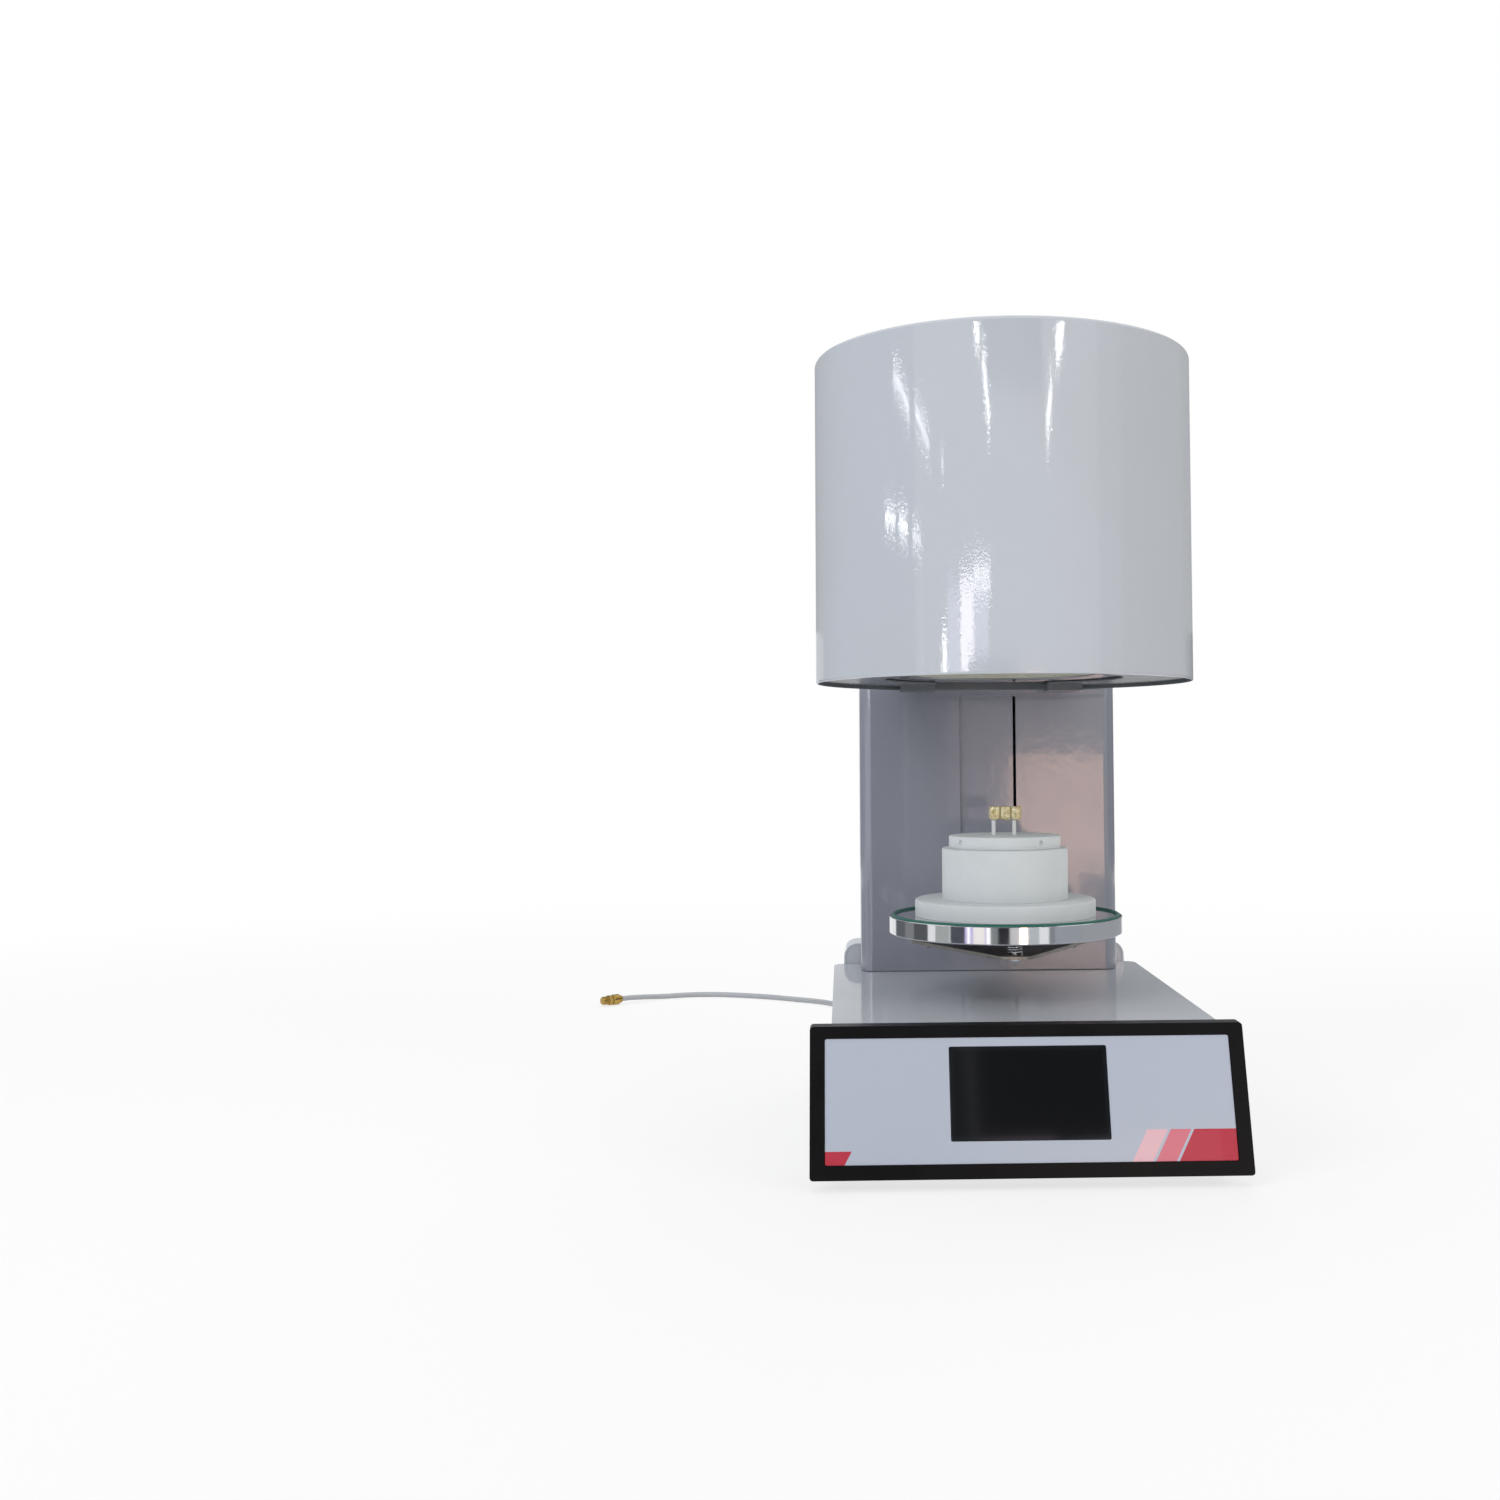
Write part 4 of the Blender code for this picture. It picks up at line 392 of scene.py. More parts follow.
# Laser-cut steel plate, blackened: dull, with faint heat colours
DARK_STEEL = Finish(
    "blackened_steel_plate", "steel", "#8b8983", 0.40, Grain.MOULDED, 0.8, 0.01,
    metallic=1.0, shade="#7c7973", shade_size=14, rough_swing=0.08,
)
ZINC_SHEET = Finish(
    "zinc_plated_sheet", "zinc_sheet", "#a9acae", 0.36, Grain.MOULDED, 6, 0.02,
    metallic=1.0, shade="#8d9093", shade_size=9, rough_swing=0.08,
)
PLATED_SCREW = Finish(
    "nickel_plated_screw", "steel", "#b9bbbe", 0.18, Grain.MOULDED, 0.5, 0.004, metallic=1.0
)
SPRING_STEEL = Finish(
    "polished_spring_wire", "spring_steel", "#bfc1c4", 0.16, Grain.MOULDED, 0.4, 0.004, metallic=1.0
)
TURNED_BRASS = Finish(
    "turned_brass", "brass", "#b89a56", 0.24, Grain.MOULDED, 0.4, 0.008,
    metallic=1.0, shade="#a5884a", shade_size=6, rough_swing=0.05,
)
# Silicone, moulded: even, slightly waxy, dark sea green
TEAL_SILICONE = Finish(
    "moulded_silicone_teal", "teal_silicone", "#175c50", 0.34, Grain.MOULDED, 1.2, 0.01,
    shade="#1e6b60", shade_size=14, subsurface=0.1,
)
# Vacuum-formed alumina fibre: chalky, with open pores and a loose surface
CERAMIC_FIBRE = Finish(
    "vacuum_formed_ceramic_fibre", "ceramic_fibre", "#d2d7d9", 0.93, Grain.FIBRE, 1.6, 0.10,
    shade="#ccd1d2", shade_size=22, shade_share=0.7,
)
MUFFLE_FIBRE = Finish(
    "muffle_ceramic_fibre", "muffle_fibre", "#cdcdc2", 0.95, Grain.FIBRE, 2.2, 0.2,
    shade="#bdbdaf", shade_size=16, shade_share=0.8,
)
# Sintered alumina rod: white, dense and slightly rough
ALUMINA = Finish(
    "sintered_alumina", "alumina", "#dfe2e3", 0.62, Grain.FIRED, 0.5, 0.02, shade="#d2d5d6", shade_size=4
)
# Glazed porcelain over zirconia: amber and glassy, mottled with darker amber patches and pale flecks that
# are painted highlights
GLAZED_PORCELAIN = Finish(
    "glazed_porcelain_amber", "zirconia", "#e9dfb6", 0.07, Grain.MOULDED, 2.0, 0.06,
    ior=1.54, coat=1.0, shade="#a8914a", shade_size=2.6, shade_share=0.85, subsurface=0.3,
)
QUARTZ = Finish(
    "fused_quartz_muffle", "quartz", "#cfd2cc", 0.35, Grain.TURNED, 2.5, 0.15,
    shade="#bdb9a6", shade_size=12, centre=LIFT_AXIS,
)
RUBBER = Finish(
    "moulded_rubber_black", "rubber", "#1b1b1c", 0.8, Grain.MOULDED, 0.8, 0.03, shade="#272728", shade_size=7
)
# Polyurethane tube, extruded: milky, a soft shine along its length
POLYURETHANE = Finish(
    "extruded_polyurethane_clear", "polyurethane", "#acafb3", 0.28, Grain.MOULDED, 3, 0.02,
    coat=0.3, shade="#a2a6aa", shade_size=30, subsurface=0.15,
)
SOLDER_MASK = Finish(
    "solder_mask_green", "circuit_board", "#1c5a37", 0.35, Grain.MOULDED, 1.5, 0.02,
    shade="#174b2e", shade_size=5,
)


def link(name: str, data: bpy.types.ID) -> Object:
    """Put an object into the scene.

    Args:
        name: Its name.
        data: Its mesh, curve, light or camera.

    Returns:
        The object.
    """
    result = bpy.data.objects.new(name, data)
    bpy.context.scene.collection.objects.link(result)
    return result


def write_mesh(name: str, bm: Mesh) -> bpy.types.Mesh:
    """Write a mesh out and free what it was built in.

    Args:
        name: Its name.
        bm: What it was built in.

    Returns:
        The mesh.
    """
    mesh = bpy.data.meshes.new(name)
    bm.to_mesh(mesh)
    bm.free()
    return mesh


def evaluated(source: Object) -> bpy.types.Mesh:
    """Copy an object's shape as a mesh, with its modifiers applied.

    Args:
        source: The object.

    Returns:
        The mesh.
    """
    bpy.context.view_layer.update()
    return bpy.data.meshes.new_from_object(source.evaluated_get(bpy.context.evaluated_depsgraph_get()))


def add_box(bm: Mesh, low: Sequence[float], high: Sequence[float]) -> None:
    """Add a box between two corners to a mesh.

    Args:
        bm: The mesh.
        low: The box's lowest corner.
        high: Its highest corner.
    """
    size = [b - a for a, b in zip(low, high)]
    middle = Vector([(a + b) / 2 for a, b in zip(low, high)])
    bmesh.ops.create_cube(bm, size=1, matrix=Matrix.Translation(middle) @ Matrix.Diagonal((*size, 1)))


def round_edges(bm: Mesh, edges: Sequence[bmesh.types.BMEdge], radius: float, steps: int) -> None:
    """Round edges of a mesh.

    Args:
        bm: The mesh.
        edges: The edges.
        radius: The rounding.
        steps: Faces across the rounding.
    """
    bmesh.ops.bevel(
        bm, geom=edges, offset=radius, segments=steps, profile=0.5, affect="EDGES", material=-1,
        clamp_overlap=True,
    )


def raise_face(bm: Mesh, points: Sequence[Sequence[float]], way: Sequence[float]) -> None:
    """Raise a flat face to a prism.

    Args:
        bm: The mesh that it joins.
        points: The face's corners.
        way: How far it is raised, each way.
    """
    face = bm.faces.new([bm.verts.new(point) for point in points])
    raised = bmesh.ops.extrude_face_region(bm, geom=[face])["geom"]
    moved = [part for part in raised if isinstance(part, bmesh.types.BMVert)]
    bmesh.ops.translate(bm, verts=moved, vec=way)


def extrude_outline(outline: Outline, height: float, base: float = 0.0, bm: Mesh | None = None) -> Mesh:
    """Raise a closed outline in plan to a prism.

    Args:
        outline: Its points in X and Y.
        height: How far it is raised.
        base: The Z that it starts from.
        bm: A mesh to add it to.

    Returns:
        The mesh.
    """
    bm = bm or bmesh.new()
    raise_face(bm, [(x, y, base) for x, y in outline], (0, 0, height))
    return bm


def turn_profile(
    profile: Outline, centre: Sequence[float], steps: int = 160, axis: Axis = Axis.Z, closed: bool = False,
    bm: Mesh | None = None,
) -> Mesh:
    """Spin a profile of radius and height about an axis.

    Args:
        profile: Points of radius and height.
        centre: The origin of the turning axis.
        steps: Faces round the axis.
        axis: The direction of the turning axis, Y or Z.
        closed: Whether the profile closes on itself, as a ring's does.
        bm: A mesh to add it to.

    Returns:
        The mesh.
    """
    bm = bm or bmesh.new()
    before = set(bm.verts)
    verts = [bm.verts.new((radius, 0, height)) for radius, height in profile]
    pairs = list(zip(verts, verts[1:]))
    if closed:
        pairs.append((verts[-1], verts[0]))
    edges = [bm.edges.new(pair) for pair in pairs]
    bmesh.ops.spin(
        bm, geom=verts + edges, cent=(0, 0, 0), axis=(0, 0, 1), angle=math.tau, steps=steps, use_merge=True
    )
    made = [vert for vert in bm.verts if vert not in before]
    matrix = Matrix.Translation(Vector(centre))
    if axis is Axis.Y:
        matrix @= Matrix.Rotation(-math.pi / 2, 4, "X")
    bmesh.ops.transform(bm, matrix=matrix, verts=made)
    return bm


def polar(radius: float, turn: float) -> tuple[float, float]:
    """Point at an angle round the origin.

    Args:
        radius: Its distance.
        turn: Its angle from X in degrees.

    Returns:
        Its X and Y.
    """
    angle = math.radians(turn)
    return (radius * math.cos(angle), radius * math.sin(angle))


def arc_points(
    centre: tuple[float, float], radius: float, start: float, end: float, steps: int
) -> list[tuple[float, float]]:
    """Points on an arc.

    Args:
        centre: The arc's centre.
        radius: Its radius.
        start: Its first angle in degrees.
        end: Its last angle in degrees.
        steps: Chords along it.

    Returns:
        The points, both ends among them.
    """
    spots = [polar(radius, start + (end - start) * i / steps) for i in range(steps + 1)]
    return [(centre[0] + x, centre[1] + y) for x, y in spots]


def in_mm(*points: tuple[float, float]) -> list[tuple[float, float]]:
    """Turn points given in millimetres into metres.

    Args:
        points: The points.

    Returns:
        The same points in metres.
    """
    return [(x * MM, y * MM) for x, y in points]


def round_rectangle(width: float, height: float, radius: float, steps: int) -> list[tuple[float, float]]:
    """Outline of a rectangle about the origin with round corners.

    Args:
        width: Its size in X.
        height: Its size in Y.
        radius: Its corners.
        steps: Chords in each corner.

    Returns:
        The points of the outline.
    """
    x, y = width / 2 - radius, height / 2 - radius
    corners = [((x, y), 0), ((-x, y), 90), ((-x, -y), 180), ((x, -y), 270)]
    return [point for spot, turn in corners for point in arc_points(spot, radius, turn, turn + 90, steps)]


def draw_wire(name: str, points: Sequence[Sequence[float]], radius: float, resolution: int) -> Object:
    """Draw a round wire along points, as a curve.

    Args:
        name: Its name.
        points: The points of its middle line.
        radius: Its radius.
        resolution: How finely its section is drawn.

    Returns:
        The wire.
    """
    curve = bpy.data.curves.new(name, "CURVE")
    curve.dimensions = "3D"
    curve.resolution_u = 1
    curve.render_resolution_u = 0
    curve.bevel_depth = radius
    curve.bevel_resolution = resolution
    curve.use_fill_caps = True
    line = curve.splines.new("POLY")
    line.use_smooth = True
    line.points.add(len(points) - 1)
    for spot, point in zip(line.points, points):
        spot.co = (*point, 1)
    return link(name, curve)


def cut_away(target: Object, bm: Mesh, union: bool = False) -> None:
    """Cut a closed shape out of a piece, or join it on, and apply the result.

    Args:
        target: The piece.
        bm: The shape, in world space.
        union: Whether the shape is joined on, not cut out.
    """
    bmesh.ops.recalc_face_normals(bm, faces=bm.faces)
    mesh = write_mesh("tool", bm)
    tool = link("tool", mesh)
    step = target.modifiers.new("cut", "BOOLEAN")
    step.operation = "UNION" if union else "DIFFERENCE"
    step.object = tool
    shape = evaluated(target)
    target.modifiers.remove(step)
    old, name = target.data, target.data.name
    target.data = shape
    bpy.data.meshes.remove(old)
    shape.name = name
    bpy.data.objects.remove(tool)
    bpy.data.meshes.remove(mesh)


def drill(target: Object, x: float, y: float, radius: float, low: float, high: float, steps: int) -> None:
    """Drill an upright round hole into a piece.

    Args:
        target: The piece.
        x: The hole's X.
        y: The hole's Y.
        radius: The hole's radius.
        low: Where it begins.
        high: Where it ends.
        steps: Faces round it.
    """
    cut_away(target, turn_profile([(0, low), (radius, low), (radius, high), (0, high)], (x, y, 0), steps))


def smooth_shading(mesh: bpy.types.Mesh, angle: float = 32.0) -> None:
    """Shade a mesh smooth, with its corners left sharp.

    Args:
        mesh: The mesh.
        angle: The least angle of a corner, in degrees.
    """
    mesh.shade_smooth()
    mesh.set_sharp_from_angle(angle=math.radians(angle))


def add_piece(
    name: str, bm: Mesh, finish: Coating, body: str, node: str = "", mended: bool = True
) -> Object:
    """Make a finished piece from a mesh in world space and let it ride on a body.

    Args:
        name: The piece's name.
        bm: Its mesh, which is used up.
        finish: Its finish.
        body: The body that it moves with, or nothing for a piece that rides on no body.
        node: The frame node that it replaces.
        mended: Whether doubles are merged and the faces turned outwards.

    Returns:
        The piece.
    """
    if mended:
        bmesh.ops.remove_doubles(bm, verts=bm.verts, dist=MERGE)
        bmesh.ops.recalc_face_normals(bm, faces=bm.faces)
    mesh = write_mesh(name, bm)
    mesh.materials.append(finish.material())
    piece = link(name, mesh)
    smooth_shading(mesh)
    if body:
        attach(piece, body)
    if node:
        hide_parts(node)
    LOG.info("%s on %s, %d faces", name, body or "two bodies", len(mesh.polygons))
    return piece


def soften(piece: Object, width: float, segments: int = 2) -> None:
    """Break the sharp edges of a piece with a small rounding, and keep its flats flat in reflections.

    Args:
        piece: The piece.
        width: The rounding.
        segments: Faces across it.
    """
    step = piece.modifiers.new("edges", "BEVEL")
    step.width = width
    step.segments = segments
    step.limit_method = "ANGLE"
    step.angle_limit = math.radians(35)
    step.harden_normals = True
    piece.modifiers.new("flats", "WEIGHTED_NORMAL").keep_sharp = True


def refine(
    node: str, name: str, finish: Coating, body: str, width: float, segments: int = 2
) -> None:
    """Make a finer piece from a frame node: its facets joined, its edges rounded, its curves smooth.

    Args:
        node: The node that it stands for.
        name: The new piece's name.
        finish: Its finish.
        body: The body that it moves with.
        width: The rounding of its edges.
        segments: Faces across the rounding.
    """
    bm = bmesh.new()
    bm.from_mesh(bpy.data.objects[node].data)
    bmesh.ops.remove_doubles(bm, verts=bm.verts, dist=MERGE)
    bmesh.ops.dissolve_limit(bm, angle_limit=math.radians(0.5), verts=bm.verts, edges=bm.edges)
    soften(add_piece(name, bm, finish, body, node, False), width, segments)


def dress(finish: Coating, *nodes: str) -> None:
    """Give frame nodes their finish.

    Args:
        finish: The finish.
        nodes: The nodes.
    """
    for node in nodes:
        for place in bpy.data.objects[node].material_slots:
            place.material = finish.material()


def screw_head(bm: Mesh, place: Sequence[float], way: Sequence[float], radius: float, height: float) -> None:
    """Add a button-head screw with a hexagon socket.

    Args:
        bm: The mesh that it joins.
        place: The middle of its seat.
        way: The direction that it faces.
        radius: Its head's radius.
        height: Its head's height.
    """
    dome_end, socket_width, socket_depth = 66, 0.42, 0.6
    head = bmesh.new()
    dome = arc_points((radius - height, 0), height, 0, dome_end, 4)
    turn_profile(dome, (0, 0, 0), 24, bm=head)
    top = dome[-1][1]
    rings = [edge for edge in head.edges if edge.is_boundary]
    seat = [edge for edge in rings if edge.verts[0].co.z < MERGE]
    crown = [edge for edge in rings if edge.verts[0].co.z > MERGE]
    bmesh.ops.edgeloop_fill(head, edges=seat)
    raised = Matrix.Translation((0, 0, top))
    corners = bmesh.ops.create_circle(head, segments=6, radius=radius * socket_width, matrix=raised)["verts"]
    mouth = list({edge for corner in corners for edge in corner.link_edges})
    bmesh.ops.triangle_fill(head, edges=crown + mouth, use_beauty=True)
    sunk = bmesh.ops.extrude_edge_only(head, edges=mouth)["geom"]
    floor = [part for part in sunk if isinstance(part, bmesh.types.BMVert)]
    bmesh.ops.translate(head, verts=floor, vec=(0, 0, -top * socket_depth))
    bmesh.ops.edgeloop_fill(head, edges=[part for part in sunk if isinstance(part, bmesh.types.BMEdge)])
    turn_to = Vector(way).to_track_quat("Z", "Y").to_matrix().to_4x4()
    bmesh.ops.transform(head, matrix=Matrix.Translation(Vector(place)) @ turn_to, verts=head.verts)
    bmesh.ops.recalc_face_normals(head, faces=head.faces)
    loose = write_mesh("screw", head)
    bm.from_mesh(loose)
    bpy.data.meshes.remove(loose)


@dataclass(frozen=True)
class Lamp:
    """One soft box: where it hangs, where it looks, its size and its power in watts."""

    name: str
    place: Point
    target: Point
    size: tuple[float, float]
    power: float
    colour: str = "#ffffff"

    def hang(self) -> None:
        """Add the lamp to the scene."""
        light = bpy.data.lights.new(self.name, "AREA")
        light.shape = "RECTANGLE"
        light.size, light.size_y = self.size
        light.energy = self.power
        light.color = linear(self.colour)[:3]
        lamp = link(self.name, light)
        lamp.location = self.place
        lamp.rotation_euler = (Vector(self.target) - Vector(self.place)).to_track_quat("-Z", "Y").to_euler()
        lamp.visible_camera = False
        lamp.visible_glossy = False


@dataclass(frozen=True)
class Card:
    """One glowing or dark strip round the object, which only shows in what is glossy.

    It runs from one end to the other, as wide as given, and faces the object.
    """

    name: str
    start: Point
    end: Point
    width: float
    colour: str = "#ffffff"
    glow: float = 1.0

    def stand(self) -> None:
        """Put the card up and keep it out of the camera's sight and off the object's shading."""
        low, high = Vector(self.start), Vector(self.end)
        middle, along = (low + high) / 2, (high - low).normalized()
        to_object = Vector((0, 0, 0.3)) - middle
        facing = (to_object - along * to_object.dot(along)).normalized()
        turn = Matrix((along.cross(facing), along, facing)).transposed().to_4x4()
        size = Matrix.Diagonal((self.width, (high - low).length, 1, 1))
        bm = bmesh.new()
        matrix = Matrix.Translation(middle) @ turn @ size
        bmesh.ops.create_grid(bm, x_segments=1, y_segments=1, size=0.5, matrix=matrix)
        mesh = write_mesh(self.name, bm)
        paint, tree, _ = new_material(self.name + "_light")
        light = add_node(tree, "ShaderNodeEmission", {"Color": linear(self.colour), "Strength": self.glow})
        fill(tree, tree.nodes["Material Output"], {"Surface": light.outputs[0]})
        mesh.materials.append(paint)
        card = link(self.name, mesh)
        card.visible_camera = False
        card.visible_diffuse = False
        card.visible_shadow = False
        card.visible_transmission = False


def upright(
    name: str, x: float, y: float, low: float, high: float, width: float, colour: str, glow: float = 1.0
) -> Card:
    """Plan an upright card.

    Args:
        name: Its name.
        x: Its X.
        y: Its Y.
        low: The Z of its foot.
        high: The Z of its top.
        width: Its width.
        colour: Its colour.
        glow: Its brightness.

    Returns:
        The card.
    """
    return Card(name, (x, y, low), (x, y, high), width, colour, glow)


@dataclass(frozen=True)
class Studio:
    """Pale floor, soft lamps and the camera that took the photograph.

    The camera's place, turn and lens come from fitting the photograph's edges to the real sizes.
    """

    eye: Point = (-125.67 * MM, -1251.03 * MM, 293.02 * MM)
    turn: Point = (92.0807, 0.3718, -1.4333)
    lens: float = 37.36
    shift: tuple[float, float] = (-0.0883, -0.0351)
    floor_size: float = 14.0
    room_light: float = 0.55
    shade_reach: tuple[float, float] = (0.5, 2.2)
    lamps: tuple[Lamp, ...] = (
        Lamp("window_box", (-1.9, -1.7, 1.7), (0.0, 0.0, 0.30), (1.5, 1.3), 30.0, "#f7faff"),
        Lamp("right_box", (1.9, -1.5, 1.1), (0.0, 0.0, 0.25), (1.2, 1.4), 15.0, "#fff8f2"),
        Lamp("ceiling_box", (0.0, 0.2, 2.4), (0.0, 0.0, 0.3), (1.8, 1.8), 16.0),
        Lamp("rear_box", (0.6, 2.2, 1.5), (0.0, 0.0, 0.3), (1.4, 1.0), 14.0),
    )
    walls: tuple[Card, ...] = (
        upright("rear_wall", 0.0, 3.3, 0.0, 3.1, 8.4, "#a9acb0"),
        upright("rear_low_left", -0.75, 2.6, 0.0, 0.60, 2.0, "#d3d6da"),
        upright("rear_low_right", 1.2, 2.6, 0.0, 0.60, 2.3, "#868a8e"),
        upright("left_wall", -3.7, 0.2, 0.0, 3.2, 5.4, "#a9adb4"),
        upright("right_wall", 3.2, 0.9, 0.0, 3.1, 5.4, "#a6a8a7"),
        upright("right_wall_end", 2.75, -1.65, 0.0, 2.6, 0.9, "#cdcfd0"),
        upright("left_low", -1.25, 0.7, 0.10, 0.40, 2.0, "#6a6f79"),
        upright("right_low", 1.25, 0.2, 0.10, 0.40, 2.6, "#3c4048"),
        upright("dark_ceiling", 1.36, -6.7, 2.1, 3.5, 1.66, "#0c0d0f"),
        upright("dim_ceiling", -0.7, -6.7, 2.1, 3.5, 2.46, "#45494d"),
        upright("camera_side", -0.26, -1.16, 0.0, 0.42, 0.48, "#484b54"),
        upright("camera_edge", 0.015, -1.16, 0.0, 0.42, 0.07, "#9b9aa3"),
        upright("door_edge", 0.10, -1.15, 0.0, 0.42, 0.10, "#80757a", 5.0),
        upright("door_frame", 0.255, -1.15, 0.292, 0.42, 0.22, "#fff0f2", 1.3),
        upright("warm_door", 0.255, -1.15, 0.0, 0.292, 0.21, "#f2cbb8", 6.0),
        upright("left_sill", -1.22, -1.06, 0.10, 0.36, 1.5, "#f2f4ff", 1.6),
    )
    band_reach: float = 1.05
    band_top: float = 0.10
    band_step: float = 18.0
    bands: tuple[tuple[float, float, str, float], ...] = (
        (-137, -116, "#686b72", 1.0),
        (-116, -101, "#8c8d90", 1.0),
        (-101, -82, "#5b5d60", 1.0),
        (-73, -57.5, "#b5b9b7", 1.0),
        (-56.7, -42.3, "#4a4c56", 1.0),
        (-42.3, -40, "#cfc2ea", 1.2),
        (-40, -37.5, "#ffffff", 1.5),
        (-37.5, -34.5, "#cdbfe8", 1.2),
        (-34.5, -24, "#fffaf4", 1.15),
        (-24, -22.3, "#d3c9ec", 1.2),
        (-22.3, -18.9, "#ffffff", 1.5),
        (-18.9, -12, "#8f9493", 1.0),
        (-12, -1.8, "#28272d", 1.0),
        (-1.8, 6.5, "#dcdcda", 1.0),
        (13.8, 24.6, "#c6ced2", 1.0),
        (33.8, 39.5, "#8f9298", 1.0),
        (39.5, 68, "#a6aab0", 1.0),
        (68, 150, "#a9acb0", 1.0),
    )
    tubes: tuple[Card, ...] = (
        Card("tube_left_near", (-3.09, -1.11, 1.34), (-3.26, -1.89, 1.34), 0.035, glow=16.0),
        Card("tube_left_far", (-3.13, -2.10, 1.34), (-3.21, -2.95, 1.34), 0.035, glow=16.0),
        Card("tube_middle_near", (-0.97, -2.62, 1.34), (-0.89, -2.83, 1.34), 0.07, glow=18.0),
        Card("tube_middle_far", (-0.85, -3.04, 1.34), (-0.85, -3.95, 1.34), 0.07, glow=18.0),
        Card("tube_right_near", (1.42, -2.42, 1.34), (1.38, -2.84, 1.34), 0.09, glow=18.0),
        Card("tube_right_far", (1.38, -3.18, 1.34), (1.46, -3.98, 1.34), 0.07, glow=18.0),
        Card("far_window", (-3.04, -0.71, 0.92), (-2.93, -1.10, 0.91), 0.025, glow=20.0),
        Card("far_window_pane", (-2.89, -1.22, 0.905), (-2.75, -1.51, 0.885), 0.035, glow=20.0),
        Card("far_window_end", (-2.67, -1.66, 0.87), (-2.51, -1.91, 0.85), 0.02, glow=20.0),
    )
    windows: tuple[Card, ...] = (
        upright("far_lamp", -1.90, -2.33, 1.00, 1.05, 0.03, "#ffffff", 16.0),
        upright("window_crack", -2.50, -1.92, 0.45, 0.84, 0.02, "#ffffff", 2.5),
        upright("curtain_left", -1.65, -2.51, 0.45, 0.71, 0.35, "#dcd9f6", 4.0),
        upright("curtain_gap", -1.29, -2.69, 0.45, 0.74, 0.40, "#fff8ff", 9.0),
        upright("curtain_right", -0.90, -2.86, 0.45, 0.695, 0.41, "#dcd9f6", 4.0),
        upright("curtain_top", -0.87, -2.86, 0.70, 0.765, 0.50, "#ffffff", 9.0),
        upright("curtain_edge", -1.88, -2.34, 0.45, 0.597, 0.13, "#ffffff", 14.0),
    )

    def set_up(self) -> None:
        """Build the camera, the lamps, the floor and the room's light."""
        scene = bpy.context.scene
        view = bpy.data.cameras.new("camera")
        view.lens = self.lens
        view.shift_x, view.shift_y = self.shift
        view.clip_start = 0.01
        camera = link("camera", view)
        camera.location = self.eye
        camera.rotation_euler = [math.radians(angle) for angle in self.turn]
        scene.camera = camera
        scene.view_settings.view_transform = "Standard"
        for lamp in self.lamps:
            lamp.hang()
        for card in self.walls + self.tubes + self.windows:
            card.stand()
        for number, band in enumerate(self.bands):
            self.stand_band(f"low_band_{number}", *band)
        self.light_room(scene)
        self.lay_floor()

    def stand_band(self, name: str, start: float, end: float, colour: str, glow: float) -> None:
        """Stand one low band round the object, in flat parts.

        Args:
            name: Its name.
            start: The angle of its first end, from the camera's side to the right, in degrees.
            end: The angle of its last end.
            colour: Its colour.
            glow: Its brightness.
        """
        parts = math.ceil((end - start) / self.band_step)
        step = (end - start) / parts
        width = 2 * self.band_reach * math.tan(math.radians(step) / 2)
        for part in range(parts):
            x, y = polar(self.band_reach, start + step * (part + 0.5) - 90)
            upright(f"{name}_{part}", x, y, 0.0, self.band_top, width, colour, glow).stand()

    def light_room(self, scene: bpy.types.Scene) -> None:
        """Set a soft even room, which looks white behind the object and in what mirrors it.

        Args:
            scene: The scene.
        """
        scene.world = bpy.data.worlds.new("room")
        scene.world.use_nodes = True
        tree = scene.world.node_tree
        white = self.seen_white(tree)
        strength = remap(tree, {"To Min": self.room_light, "To Max": 1.0, "Value": white})
        fill(tree, tree.nodes["Background"], {"Color": (1, 1, 1, 1), "Strength": strength})

    def seen_white(self, tree: Tree) -> Socket:
        """Mark the rays that see the room and the table as plain white.

        Args:
            tree: The node tree of the world or of the table top.

        Returns:
            A socket that is 1 for what the camera sees, straight, mirrored or through glass.
        """
        rays = add_node(tree, "ShaderNodeLightPath").outputs
        straight = calc(tree, "MAXIMUM", rays["Is Camera Ray"], rays["Is Transmission Ray"])
        return calc(tree, "MAXIMUM", straight, rays["Is Glossy Ray"])

    def lay_floor(self) -> None:
        """Lay the pale table that the furnace stands on, white to the eye but for its shadows."""
        bm = bmesh.new()
        bmesh.ops.create_grid(bm, x_segments=1, y_segments=1, size=self.floor_size / 2)
        mesh = write_mesh("table_top", bm)
        paint, tree, shader = new_material("table_top_white")
        matt = {"Base Color": linear("#e9e9e9"), "Roughness": 0.9, "Specular IOR Level": 0.0}
        fill(tree, shader, matt)
        glow = add_node(tree, "ShaderNodeEmission", {"Color": (1, 1, 1, 1), "Strength": 1.0})
        spot = add_node(tree, "ShaderNodeTexCoord").outputs["Object"]
        reach = add_node(tree, "ShaderNodeVectorMath", {"operation": "LENGTH", 0: spot}).outputs["Value"]
        near, far = self.shade_reach
        fade = {"interpolation_type": "SMOOTHSTEP", "From Min": near, "From Max": far}
        share = remap(tree, {**fade, "To Min": 0.72, "To Max": 1.0, "Value": reach})
        white = calc(tree, "MULTIPLY", share, self.seen_white(tree))
        parts = {0: white, 1: shader.outputs["BSDF"], 2: glow.outputs[0]}
        mix = add_node(tree, "ShaderNodeMixShader", parts)
        fill(tree, tree.nodes["Material Output"], {"Surface": mix.outputs[0]})
        mesh.materials.append(paint)
        link("table_top", mesh)


